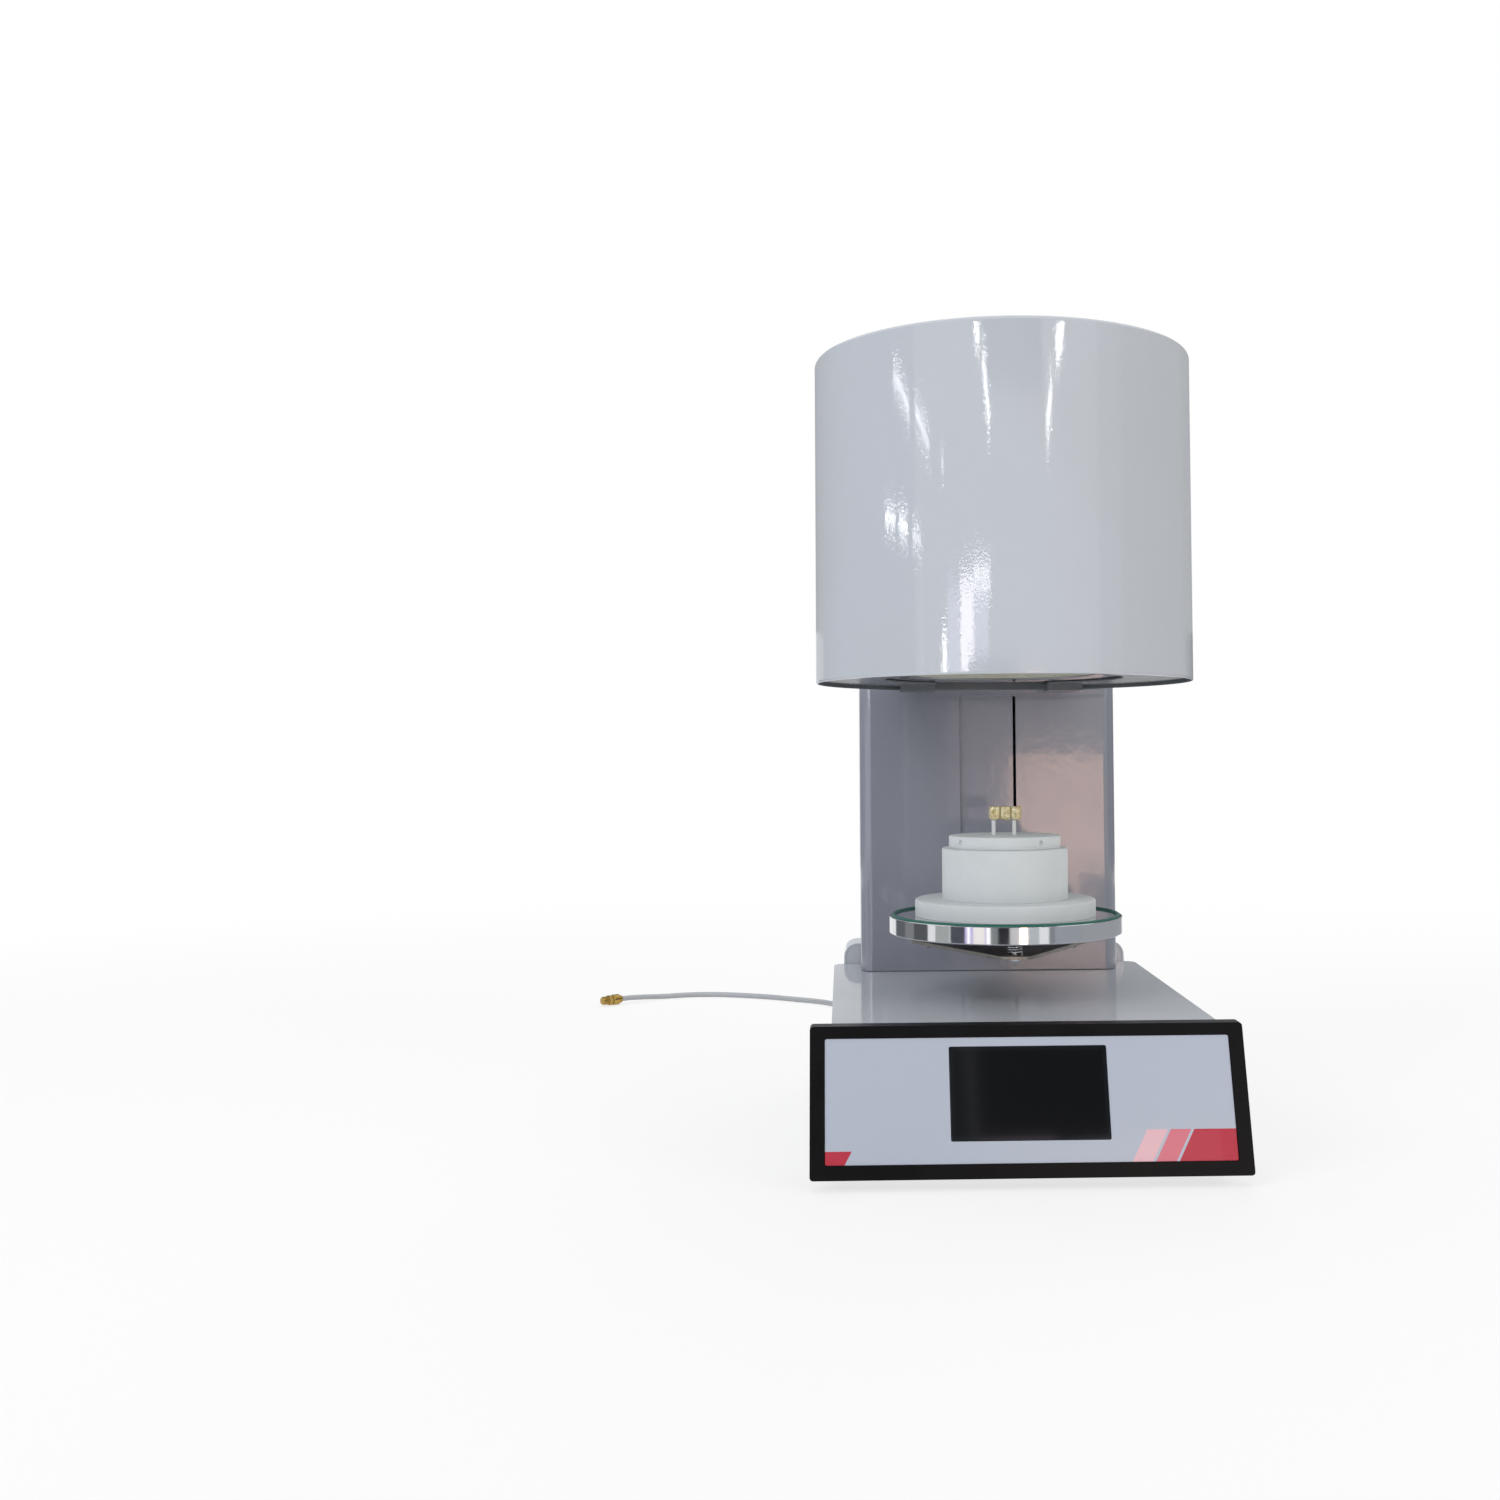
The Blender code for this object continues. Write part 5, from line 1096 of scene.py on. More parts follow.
@dataclass
class VacuumHose:
    """Vacuum hose: from its port to a stored coil, then along the table to its push-in fitting.

    Its points are those of the frame's hose, and the coil's loops follow the same spiral. The
    profiles of its ends are radius and height in millimetres.
    """

    diameter: float = 6 * MM
    floor_gap: float = 0.2 * MM
    coil_inner: float = 26.5 * MM
    coil_pitch: float = 6.6 * MM
    coil_turns: float = 2.25
    coil_climb: float = 0.5
    coil_y: float = 300 * MM
    steps: int = 72
    port_place: Point = (-100 * MM, 196.5 * MM, 40 * MM)
    port_profile: Outline = (
        (0, -5), (5.0, -5), (5.0, 0.3), (4.6, 0.3), (4.6, 7.5), (5.6, 7.9), (5.6, 9), (4.4, 9.2),
        (4.4, 11.5), (4.6, 11.8), (4.6, 13.4), (4.2, 14), (3.4, 14), (3.2, 13), (0, 13),
    )
    port_hexagon: Point = (6.0 * MM, 0.3 * MM, 5.5 * MM)
    fitting_profile: Outline = (
        (0, 2), (3.15, 2), (3.15, 0.4), (3.9, 0), (4.4, 0.5), (4.4, 1.8), (3.9, 2.2), (3.9, 3.4),
        (5.6, 3.6), (6.1, 4.2), (6.1, 11.5), (5.4, 12.2), (3.9, 12.4), (3.9, 13), (0, 13),
    )
    fitting_hexagon: Point = (6.15 * MM, 13 * MM, 5 * MM)
    thread_turns: int = 7
    port_run: tuple[Point, ...] = (
        (-0.100, 0.2111, 0.0400), (-0.100, 0.2250, 0.0400), (-0.100, 0.2426, 0.0350),
        (-0.100, 0.2550, 0.0216), (-0.100, 0.2674, 0.0082), (-0.100, 0.2850, 0.0032),
        (-0.100, 0.2937, 0.0032),
    )
    pump_run: tuple[Point, ...] = (
        (-0.1000, 0.3063, 0.0098), (-0.1000, 0.3250, 0.0095), (-0.1005, 0.3450, 0.0070),
        (-0.1012, 0.3700, 0.0034), (-0.1025, 0.4100, 0.0032), (-0.1050, 0.4600, 0.0032),
        (-0.1130, 0.5150, 0.0032), (-0.1441, 0.5762, 0.0032), (-0.1907, 0.6112, 0.0032),
        (-0.2275, 0.6327, 0.0032), (-0.2767, 0.6500, 0.0032), (-0.3130, 0.6501, 0.0032),
        (-0.3430, 0.6380, 0.0036), (-0.3650, 0.6225, 0.0054), (-0.3790, 0.6118, 0.0064),
        (-0.3890, 0.6040, 0.0065),
    )

    def coil(self) -> list[Vector]:
        """Work out the coil's loops: in along the table, up a layer where it reverses, and out.

        Returns:
            The points of the loops.
        """
        turns = 2 * self.coil_turns + self.coil_climb
        outer = self.coil_inner + self.coil_pitch * turns / 2
        centre = Vector((self.port_place[0] + outer, self.coil_y, self.diameter / 2 + self.floor_gap))
        points = []
        for i in range(round(turns * self.steps) + 1):
            turn = i / self.steps
            radius = outer - self.coil_pitch * min(turn, turns - turn)
            rise = min(max((turn - self.coil_turns) / self.coil_climb, 0), 1)
            angle = math.pi - math.tau * turn
            spot = Vector((radius * math.cos(angle), radius * math.sin(angle), 0))
            spot.z = self.coil_pitch * rise * rise * (3 - 2 * rise)
            points.append(centre + spot)
        return points

    def smooth(self, points: Sequence[Point], parts: int = 6) -> list[Vector]:
        """Draw a smooth curve through points.

        Args:
            points: The points that it passes.
            parts: Steps between two of them.

        Returns:
            The curve's points.
        """
        spots = [Vector(point) for point in points]
        spots = [2 * spots[0] - spots[1], *spots, 2 * spots[-1] - spots[-2]]
        result = []
        for a, b, c, d in zip(spots, spots[1:], spots[2:], spots[3:]):
            for i in range(parts):
                t = i / parts
                bend = (2 * a - 5 * b + 4 * c - d) * t * t + (3 * b - 3 * c + d - a) * t**3
                result.append(b + ((c - a) * t + bend) / 2)
        result.append(spots[-2])
        return result

    def port(self) -> Object:
        """Turn the hose port: hexagon on the panel, neck and push-in collar.

        Returns:
            The port.
        """
        bm = turn_profile(in_mm(*self.port_profile), self.port_place, 48, Axis.Y)
        radius, base, height = self.port_hexagon
        nut = extrude_outline(arc_points((0, 0), radius, 0, 300, 5), height, base)
        turn = Matrix.Translation(self.port_place) @ Matrix.Rotation(-math.pi / 2, 4, "X")
        bmesh.ops.transform(nut, matrix=turn, verts=nut.verts)
        port = add_piece("turned_vacuum_port", bm, TURNED_BRASS, "base", "vacuum_port")
        cut_away(port, nut, union=True)
        smooth_shading(port.data)
        soften(port, 0.25 * MM)
        return port

    def build(self) -> None:
        loops = self.coil()
        lead = Vector((0, self.diameter, 0))
        points = self.smooth(self.port_run)[:-1]
        points += [loops[0] - lead, *loops, loops[-1] + lead]
        points += self.smooth(self.pump_run)[1:]
        hose = draw_wire("vacuum_hose", points, self.diameter / 2, 5)
        hose.data.materials.append(POLYURETHANE.material())
        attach(hose, "base")
        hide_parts("hose_port_run", "hose_coil", "hose_pump_run")
        ends = self.fitting(points[-1], points[-1] - points[-3])
        self.port()

    def fitting(self, end: Vector, way: Vector) -> Object:
        """Make the push-in fitting on the far end: release ring, body, hexagon and thread.

        Args:
            end: The hose's last point.
            way: The direction that the hose runs in there.

        Returns:
            The fitting.
        """
        low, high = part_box("hose_fitting")
        level = Vector((way.x, way.y, 0))
        turn = level.to_track_quat("Z", "Y").to_matrix().to_4x4()
        start = Vector((end.x, end.y, (low[2] + high[2]) / 2)) + level.normalized() * GAP
        bm = turn_profile(in_mm(*self.fitting_profile), (0, 0, 0), 40)
        radius, base, height = self.fitting_hexagon
        extrude_outline(arc_points((0, 0), radius, 0, 300, 5), height, base, bm)
        ridges = [point for i in range(self.thread_turns) for point in ((4.9, 18.4 + i), (4.2, 18.9 + i))]
        turn_profile(in_mm((0, 18), (4.6, 18), *ridges, (4.0, 26), (0, 26)), (0, 0, 0), 32, bm=bm)
        bmesh.ops.transform(bm, matrix=Matrix.Translation(start) @ turn, verts=bm.verts)
        piece = add_piece("push_in_fitting", bm, TURNED_BRASS, "base", "hose_fitting")
        soften(piece, 0.2 * MM)
        return piece


@dataclass
class FiringHead:
    """Firing head: enamelled D-shaped shell, its base plate, the vacuum can and the muffle.

    The shell's lower edge is inset and rise, the flange's profile radius and height, in millimetres.
    """

    radius: float = 146.7 * MM
    skin: float = 1.4 * MM
    lower_edge: Outline = ((1.4, 0), (0.3, 0.1), (0, 0.6), (0, 1.8))
    shoulder: float = 3 * MM
    shoulder_lead: float = 1.5 * MM
    bottom_z: float = 348 * MM
    top_z: float = 599 * MM
    back_y: float = 101.1 * MM
    steps: int = 200
    plate_z: float = 351.2 * MM
    screw_ring: float = 128 * MM
    flange_z: float = 353 * MM
    flange_profile: Outline = ((80, 0), (73.5, 1.6), (73.5, 2), (96, 2), (96, 6.5), (106, 6.5), (106, 0))

    def outline(self, inset: float) -> list[tuple[float, float]]:
        """Outline of the D in plan: round about the lift axis, with its back cut flat.

        Args:
            inset: How far it lies inside the shell's outer face.

        Returns:
            Its points, from the rear right corner round the front to the rear left.
        """
        radius, back = self.radius - inset, self.back_y - inset
        flat = math.degrees(math.asin((back - LIFT_Y) / radius))
        return arc_points((0.0, LIFT_Y), radius, flat, -180 - flat, self.steps)

    def shell(self) -> None:
        """Raise the shell from its outline, with a rolled shoulder and a turned-in lower edge."""
        bm = bmesh.new()
        rings = [(inset, self.bottom_z + rise) for inset, rise in in_mm(*self.lower_edge)]
        shoulder_z = self.top_z - self.shoulder
        rings += [(0.0, shoulder_z - self.shoulder_lead)]
        rings += arc_points((self.shoulder, shoulder_z), self.shoulder, 180, 90, 12)
        loops = []
        for inset, height in rings:
            verts = [bm.verts.new((x, y, height)) for x, y in self.outline(inset)]
            loops.append([bm.edges.new((a, b)) for a, b in zip(verts, verts[1:] + verts[:1])])
        for lower, upper in zip(loops, loops[1:]):
            bmesh.ops.bridge_loops(bm, edges=lower + upper)
        bmesh.ops.edgeloop_fill(bm, edges=loops[-1])
        bmesh.ops.recalc_face_normals(bm, faces=bm.faces)
        lid = max(bm.faces, key=lambda face: face.calc_area())
        if lid.normal.z < 0:
            bmesh.ops.reverse_faces(bm, faces=bm.faces)
        bmesh.ops.solidify(bm, geom=bm.faces[:], thickness=self.skin)
        bm.normal_update()
        # Inner faces take the darker head-plate finish as a second material: painted shade inside the shell
        middle = Vector((0.0, LIFT_Y, (self.bottom_z + self.top_z) / 2))
        for face in bm.faces:
            face.material_index = int(face.normal.dot(middle - face.calc_center_median()) > 0)
        shell = add_piece("enamelled_head_shell", bm, HEAD_ENAMEL, "base", "head_shell", mended=False)
        shell.data.materials.append(HEAD_PLATE_PAINTED_SHADE.material())
        smooth_shading(shell.data, 40)

    def flange(self) -> None:
        """Turn the sealing flange: chamfered mouth, ground face for the seal, seat for the can."""
        bm = turn_profile(in_mm(*self.flange_profile), (0, LIFT_Y, self.flange_z), 200, closed=True)
        piece = add_piece("turned_sealing_flange", bm, TURNED_ALUMINIUM, "base", "sealing_flange")
        soften(piece, 0.35 * MM)

    def plate_screws(self) -> None:
        """Set the screws that hold the base plate, in a ring outside the mouth."""
        bm = bmesh.new()
        for turn in (-140, -90, -40):
            x, y = polar(self.screw_ring, turn)
            screw_head(bm, (x, LIFT_Y + y, self.plate_z), (0, 0, -1), *PLATE_SCREW)
        add_piece("head_plate_screws", bm, PLATED_SCREW, "base", mended=False)

    def build(self) -> None:
        """Build the head and dress what is seen through its mouth."""
        self.shell()
        self.flange()
        self.plate_screws()
        refine("head_bottom_plate", "pressed_head_plate", HEAD_PLATE_PAINTED_SHADE, "base", 0.5 * MM)
        dress(BRUSHED_STEEL, "vacuum_can")
        dress(MUFFLE_FIBRE, "muffle_lining", "muffle_roof")
        dress(QUARTZ, "heating_muffle")
        dress(ALUMINA, "thermocouple")


@dataclass
class Column:
    """Sheet-steel column with its slot and cover strip, the mast plates and the rods in it."""

    def build(self) -> None:
        """Build the column's panels and dress what they hold."""
        refine("column_front", "enamelled_column_front", COLUMN_ENAMEL, "base", 0.5 * MM)
        refine("column_back", "enamelled_column_back", COLUMN_ENAMEL, "base", 0.6 * MM)
        refine("slot_cover", "sliding_slot_cover", COLUMN_ENAMEL, "lift", 0.3 * MM)
        for node in ("mast_foot_plate", "mast_head_plate"):
            refine(node, node + "_milled", ZINC_SHEET, "base", 0.5 * MM)
        dress(GROUND_STEEL, "guide_rod_left", "guide_rod_right")
        dress(BRUSHED_STEEL, "lead_screw")
        dress(MILLED_ALUMINIUM, "screw_coupler", "lift_carriage")
        dress(TURNED_BRASS, "screw_nut")
        dress(BLACK_NYLON, "lift_motor")


@dataclass
class LiftTable:
    """Lift arm, triangular plate, levelling screws and springs, the platform and its ceramics.

    The levelling screws' profile is radius and height in millimetres. The base disc, the plug and
    the holes for the screws are given by their radius, their lower end and their upper end.
    """

    platform_low: float = 153.7 * MM
    platform_top: float = 167 * MM
    platform_radius: float = 90.6 * MM
    platform_edge: float = 0.8 * MM
    platform_hole: Point = (2.3 * MM, -4 * MM, 6 * MM)
    seal_radius: float = 87.2 * MM
    seal_cord: float = 4 * MM
    seal_proud: float = 1.6 * MM
    plate_z: float = 142 * MM
    plate_thick: float = 2.5 * MM
    plate_reach: float = 80 * MM
    plate_tip: float = 20 * MM
    plate_corner: float = 5 * MM
    plate_hole: Point = (2.4 * MM, -1 * MM, 4 * MM)
    screw_reach: float = 68 * MM
    screw_low: float = 136.2 * MM
    screw_profile: Outline = (
        (0, 0), (0.9, 0.2), (1.9, 0.9), (2.9, 1.9), (3.6, 2.9), (4, 4), (4, 4.9), (3.6, 5.5),
        (2, 5.5), (2, 22.9), (1.7, 23.2), (0, 23.2),
    )
    spring_radius: float = 5.3 * MM
    spring_wire: float = 1.2 * MM
    spring_curls: int = 4
    spring_steps: int = 40
    disc: Point = (70.3 * MM, 167.3 * MM, 179.8 * MM)
    plug: Point = (49 * MM, 180.1 * MM, 219.4 * MM)
    worn_edge: float = 1.5 * MM
    foot_edge: float = 0.2 * MM

    def screw_places(self) -> list[tuple[str, float, float]]:
        """Plan places of the three levelling screws.

        Returns:
            A hand, an X and a Y for each of them.
        """
        spots = []
        for hand, turn in (("front", -90), ("right", 30), ("left", 150)):
            x, y = polar(self.screw_reach, turn)
            spots.append((hand, x, LIFT_Y + y))
        return spots

    def platform(self) -> None:
        """Turn the platform with its seal groove, and lay the seal in it."""
        edge, half = self.platform_edge, self.seal_cord / 2 + GAP
        height = self.platform_top - self.platform_low
        floor = height - self.seal_cord + self.seal_proud - GAP
        radius, ring = self.platform_radius, self.seal_radius
        profile = [
            (0, 0), (radius - edge, 0), (radius, edge), (radius, height - edge / 2),
            (radius - edge / 2, height), (ring + half, height), (ring + half, floor),
            (ring - half, floor), (ring - half, height), (0, height),
        ]
        bm = turn_profile(profile, (0, LIFT_Y, self.platform_low), 220)
        piece = add_piece("turned_platform", bm, TURNED_ALUMINIUM, "platform", "lift_platform")
        bore, low, high = self.platform_hole
        for _, x, y in self.screw_places():
            drill(piece, x, y, bore, self.platform_low + low, self.platform_low + high, 24)
        smooth_shading(piece.data)
        soften(piece, 0.25 * MM)
        centre_z = self.platform_top + self.seal_proud - self.seal_cord / 2
        circle = arc_points((ring, 0), self.seal_cord / 2, 0, 360, 20)[:-1]
        seal = turn_profile(circle, (0, LIFT_Y, centre_z), 200, closed=True)
        add_piece("round_platform_seal", seal, TEAL_SILICONE, "platform", "platform_seal")

    def ceramics(self) -> None:
        """Turn the base disc and the insulation plug, with the worn edges of soft ceramic."""
        edge, foot = self.worn_edge, self.foot_edge
        for name, node, (radius, low, high) in (
            ("formed_base_disc", "ceramic_base_disc", self.disc),
            ("formed_insulation_plug", "insulation_plug", self.plug),
        ):
            low -= GAP - 0.05 * MM
            rim = arc_points((radius - edge, high - edge), edge, 0, 90, 6)
            base = arc_points((radius - foot, low + foot), foot, -90, 0, 3)
            profile = [(0, low), (radius * 0.5, low), *base, *rim, (radius * 0.5, high), (0, high)]
            add_piece(name, turn_profile(profile, LIFT_AXIS, 180), CERAMIC_FIBRE, "platform", node)

    def triangle(self) -> None:
        """Cut the triangular plate and drill it for the screws."""
        corners = []
        for turn in (-90, 30, 150):
            out = Vector(polar(1, turn))
            across = Vector((-out.y, out.x))
            tip = out * (self.plate_reach - self.plate_tip / 2)
            corners += [tip + (out + across * way) * self.plate_tip / 2 for way in (-1, 1)]
        outline = [(spot.x, spot.y + LIFT_Y) for spot in corners]
        bm = extrude_outline(outline, self.plate_thick, self.plate_z)
        heights = [(edge, abs(edge.verts[0].co.z - edge.verts[1].co.z)) for edge in bm.edges]
        uprights = [edge for edge, height in heights if height > self.plate_thick / 2]
        round_edges(bm, uprights, self.plate_corner, 6)
        plate = add_piece("lasered_triangle_plate", bm, DARK_STEEL, "lift", "levelling_plate")
        bore, low, high = self.plate_hole
        for _, x, y in self.screw_places():
            drill(plate, x, y, bore, self.plate_z + low, self.plate_z + high, 24)
        smooth_shading(plate.data)
        soften(plate, 0.25 * MM)

    def springs(self) -> None:
        """Wind the three springs from the plate up to the platform; in the furnace they are pressed together
        when the platform meets the head.
        """
        low, high = self.plate_z + self.plate_thick + GAP, self.platform_low - GAP
        wire, count = self.spring_wire, self.spring_curls * self.spring_steps
        for hand, x, y in self.screw_places():
            points = []
            for i in range(count + 1):
                out, across = polar(self.spring_radius, 360 * i / self.spring_steps)
                rise = low + wire / 2 + (high - low - wire) * i / count
                points.append((x + out, y + across, rise))
            name = "wound_spring_" + hand
            source = draw_wire(name, points, wire / 2, 3)
            mesh = evaluated(source)
            bpy.data.objects.remove(source)
            bm = bmesh.new()
            bm.from_mesh(mesh)
            bpy.data.meshes.remove(mesh)
            spring = add_piece(name, bm, SPRING_STEEL, "", "levelling_spring_" + hand)
            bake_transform(spring)

    def levelling_screws(self) -> None:
        """Turn the three levelling screws with their acorn heads below the plate."""
        for hand, x, y in self.screw_places():
            bm = turn_profile(in_mm(*self.screw_profile), (x, y, self.screw_low), 48)
            add_piece("acorn_screw_" + hand, bm, PLATED_SCREW, "platform", "levelling_screw_" + hand)

    def build(self) -> None:
        """Build the lift table."""
        refine("lift_arm", "cast_lift_arm", MILLED_ALUMINIUM, "lift", 1.2 * MM, 3)
        self.platform()
        self.ceramics()
        self.triangle()
        self.springs()
        self.levelling_screws()


@dataclass
class FiringSet:
    """What stands in the furnace: firing tray, two pins and the three-unit bridge on them."""

    radius: float = 43.5 * MM
    low: float = 219.7 * MM
    high: float = 229.1 * MM
    rim_edge: float = 1.4 * MM
    foot_edge: float = 0.3 * MM
    dimple: float = 2.1 * MM
    dimple_turn: float = -56.5
    pin_xs: tuple[float, float] = (-8.4 * MM, 7.7 * MM)
    pin_radius: float = 1.6 * MM
    pin_edge: float = 0.5 * MM
    pin_foot: float = 0.2 * MM
    pin_play: float = 0.4 * MM
    pin_low: float = 224.6 * MM
    pin_high: float = 243.6 * MM
    crown_width: float = 8.4 * MM
    bridge_x: float = 0.75 * MM
    squareness: float = 0.22
    waist: float = 0.10
    neck: float = 0.16
    cusp_height: float = 0.17
    long_fissure: float = 0.10
    cross_fissure: float = 0.06
    flute: float = 0.03

    def tray(self) -> None:
        """Press the tray with its rounded rim, its tong dimples and the sockets for the pins."""
        edge, foot, low = self.rim_edge, self.foot_edge, self.low - GAP + 0.05 * MM
        rim = arc_points((self.radius - edge, self.high - edge), edge, 0, 90, 6)
        base = arc_points((self.radius - foot, low + foot), foot, -90, 0, 3)
        profile = [(0, low), *base, *rim, (self.radius * 0.5, self.high), (0, self.high)]
        bm = turn_profile(profile, LIFT_AXIS, 160)
        tray = add_piece("pressed_firing_tray", bm, CERAMIC_FIBRE, "tray", "firing_tray")
        middle = (self.low + self.high) / 2
        for number in range(4):
            x, y = polar(self.radius, self.dimple_turn + 90 * (number - 1))
            ball = bmesh.new()
            matrix = Matrix.Translation((x, LIFT_Y + y, middle))
            bmesh.ops.create_uvsphere(ball, u_segments=24, v_segments=16, radius=self.dimple, matrix=matrix)
            cut_away(tray, ball)
        for x in self.pin_xs:
            drill(tray, x, LIFT_Y, self.pin_radius + GAP, self.pin_low - GAP, self.high + 2 * MM, 32)
        smooth_shading(tray.data)

    def pins(self) -> None:
        """Turn the two firing pins."""
        for hand, x in zip(("left", "right"), self.pin_xs):
            radius, low, edge, foot = self.pin_radius, self.pin_low, self.pin_edge, self.pin_foot
            tip = arc_points((radius - edge, self.pin_high - edge), edge, 0, 90, 5)
            profile = [(0, low), (radius - foot, low), (radius, low + foot), *tip, (0, self.pin_high)]
            bm = turn_profile(profile, (x, LIFT_Y, 0), 40)
            add_piece("turned_firing_pin_" + hand, bm, ALUMINA, "tray", "firing_pin_" + hand)

    def bridge(self) -> None:
        """Sculpt the bridge: three crowns with cusps and fissures above waists where they join."""
        low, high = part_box("sample_bridge")
        width, deep, tall = self.crown_width, (high[1] - low[1]) / 2, high[2] - low[2]
        body = None
        for way in (-1, 0, 1):
            bm = bmesh.new()
            bmesh.ops.create_cube(bm, size=2)
            bmesh.ops.subdivide_edges(bm, edges=bm.edges[:], cuts=15, use_grid_fill=True)
            for vert in bm.verts:
                vert.co = self.crown_point(vert.co, way)
            middle_z = (low[2] + high[2]) / 2
            place = Matrix.Translation((self.bridge_x + way * width, LIFT_Y, middle_z))
            scale = Matrix.Diagonal((width * 0.6, deep, tall / 2, 1))
            bmesh.ops.transform(bm, matrix=place @ scale, verts=bm.verts)
            if body is None:
                body = add_piece("glazed_sample_bridge", bm, GLAZED_PORCELAIN, "bridge", "sample_bridge")
            else:
                cut_away(body, bm, union=True)
        for x in self.pin_xs:
            reach = self.pin_radius + self.pin_play
            drill(body, x, LIFT_Y, reach, low[2] - 3 * MM, self.pin_high + GAP, 32)
        smooth_shading(body.data, 60)

    def crown_point(self, spot: Vector, way: int) -> Vector:
        """Bend one point of a cube to a crown's surface.

        Args:
            spot: The point, each way from -1 to 1.
            way: Which crown: -1 left, 0 middle, 1 right.

        Returns:
            The point on the crown, each way from -1 to 1.
        """
        ball = spot.normalized()
        point = ball.lerp(spot, self.squareness)
        waist = 1 - self.waist * math.cos(point.z * 2.6) - self.neck * max(-point.z - 0.5, 0)
        point.x *= waist
        point.y *= waist
        if spot.z > 0.9:
            cusps = math.cos(2.6 * spot.x) * math.cos(2.2 * spot.y)
            point.z += 0.05 - self.cusp_height * max(cusps, 0)
            point.z -= self.long_fissure * math.exp(-((spot.x * 4) ** 2))
            point.z -= self.cross_fissure * math.exp(-((spot.y * 4 + 0.5 * way) ** 2))
        flute = self.flute * math.sin(5 * point.x + way) * (1 - abs(point.z))
        point.y -= flute if point.y < 0 else -flute
        return Vector((max(-1, min(1, value)) for value in point))

    def build(self) -> None:
        """Build the firing set."""
        self.tray()
        self.pins()
        self.bridge()


@dataclass
class ControlFront:
    """Sloping control front: black frame, printed overlay, touch screen and the board behind."""

    foot: Point = (0.0, -200 * MM, 8 * MM)
    lean: float = 17.9
    width: float = 300 * MM
    slope: float = 102.1 * MM
    thick: float = 12 * MM
    side_border: float = 10 * MM
    lower_border: float = 9.7 * MM
    upper_border: float = 8 * MM
    corner: float = 2.4 * MM
    seat_corner: float = 1.6 * MM
    sheet_corner: float = 1.4 * MM
    window_corner: float = 1.2 * MM
    screen_corner: float = 1.0 * MM
    cut_past: float = 4 * MM
    recess: float = 0.8 * MM
    sheet: float = 1.2 * MM
    screen_width: float = 108.3 * MM
    screen_height: float = 62.5 * MM
    screen_rise: float = 24.9 * MM
    screen_recess: float = 1.2 * MM
    screen_thick: float = 6.5 * MM

    def tilt(self, bm: Mesh) -> Mesh:
        """Lean a mesh back and set it on the foot of the front.

        Args:
            bm: The mesh, upright, with depth along Y.

        Returns:
            The same mesh.
        """
        matrix = Matrix.Translation(self.foot) @ Matrix.Rotation(-math.radians(self.lean), 4, "X")
        bmesh.ops.transform(bm, matrix=matrix, verts=bm.verts)
        return bm

    def plate(
        self, half: float, low: float, high: float, start: float, end: float, radius: float
    ) -> Mesh:
        """Make an upright plate with round corners.

        Args:
            half: Half its width.
            low: Its lower edge on the slope.
            high: Its upper edge on the slope.
            start: Depth of its front.
            end: Depth of its back.
            radius: Its corners.

        Returns:
            The plate's mesh.
        """
        outline = round_rectangle(2 * half, high - low, radius, 8)
        bm = extrude_outline(outline, end - start)
        matrix = Matrix.Translation((0, end, (low + high) / 2)) @ Matrix.Rotation(math.pi / 2, 4, "X")
        bmesh.ops.transform(bm, matrix=matrix, verts=bm.verts)
        return bm

    def bezel(self) -> None:
        """Mould the black frame with its rounded outer corners, overlay recess and window."""
        level = self.thick * math.tan(math.radians(self.lean))
        side = [(0, 0), (self.thick, level), (self.thick, self.slope + level), (0, self.slope)]
        bm = bmesh.new()
        raise_face(bm, [(-self.width / 2, y, z) for y, z in side], (self.width, 0, 0))
        corners = []
        for edge in bm.edges:
            a, b = edge.verts[0].co, edge.verts[1].co
            if abs(a.y - b.y) > self.thick / 2 and abs(a.x - b.x) < MERGE:
                corners.append(edge)
        round_edges(bm, corners, self.corner, 6)
        bezel = add_piece("moulded_front_bezel", self.tilt(bm), BLACK_ABS, "base", "front_bezel")
        half = self.width / 2 - self.side_border
        seat = self.recess + self.sheet + GAP
        low, high = self.lower_border, self.slope - self.upper_border
        cut_away(bezel, self.tilt(self.plate(half, low, high, -self.cut_past, seat, self.seat_corner)))
        cut_away(bezel, self.tilt(self.window(GAP, -self.cut_past, self.thick + 2 * self.cut_past)))
        smooth_shading(bezel.data)
        soften(bezel, 0.6 * MM, 3)

    def window(self, margin: float, start: float, end: float) -> Mesh:
        """Make the block that the screen's window is cut with.

        Args:
            margin: Its play round the screen.
            start: Depth of its front.
            end: Depth of its back.

        Returns:
            The block's mesh.
        """
        low = self.screen_rise - margin
        high = self.screen_rise + self.screen_height + margin
        return self.plate(self.screen_width / 2 + margin, low, high, start, end, self.window_corner)

    def overlay(self) -> None:
        """Lay the printed overlay into its recess, with a window for the screen."""
        half = self.width / 2 - self.side_border - GAP
        low, high = self.lower_border + GAP, self.slope - self.upper_border - GAP
        back = self.recess + self.sheet
        sheet = self.tilt(self.plate(half, low, high, self.recess, back, self.sheet_corner))
        overlay = add_piece("printed_overlay_sheet", sheet, OverlayPrint(self), "base", "overlay_panel")
        cut_away(overlay, self.tilt(self.window(GAP, -self.cut_past / 2, self.thick)))
        smooth_shading(overlay.data)
        soften(overlay, 0.2 * MM)

    def screen(self) -> None:
        """Set the touch screen's glass flush behind the overlay."""
        low, front = self.screen_rise, self.screen_recess
        high, back = low + self.screen_height, front + self.screen_thick
        glass = self.plate(self.screen_width / 2, low, high, front, back, self.screen_corner)
        piece = add_piece("touch_screen_glass", self.tilt(glass), ScreenGlass(self), "base", "touch_screen")
        soften(piece, 0.3 * MM)

    def build(self) -> None:
        """Build the control front."""
        self.bezel()
        self.overlay()
        self.screen()
        dress(SOLDER_MASK, "control_board")


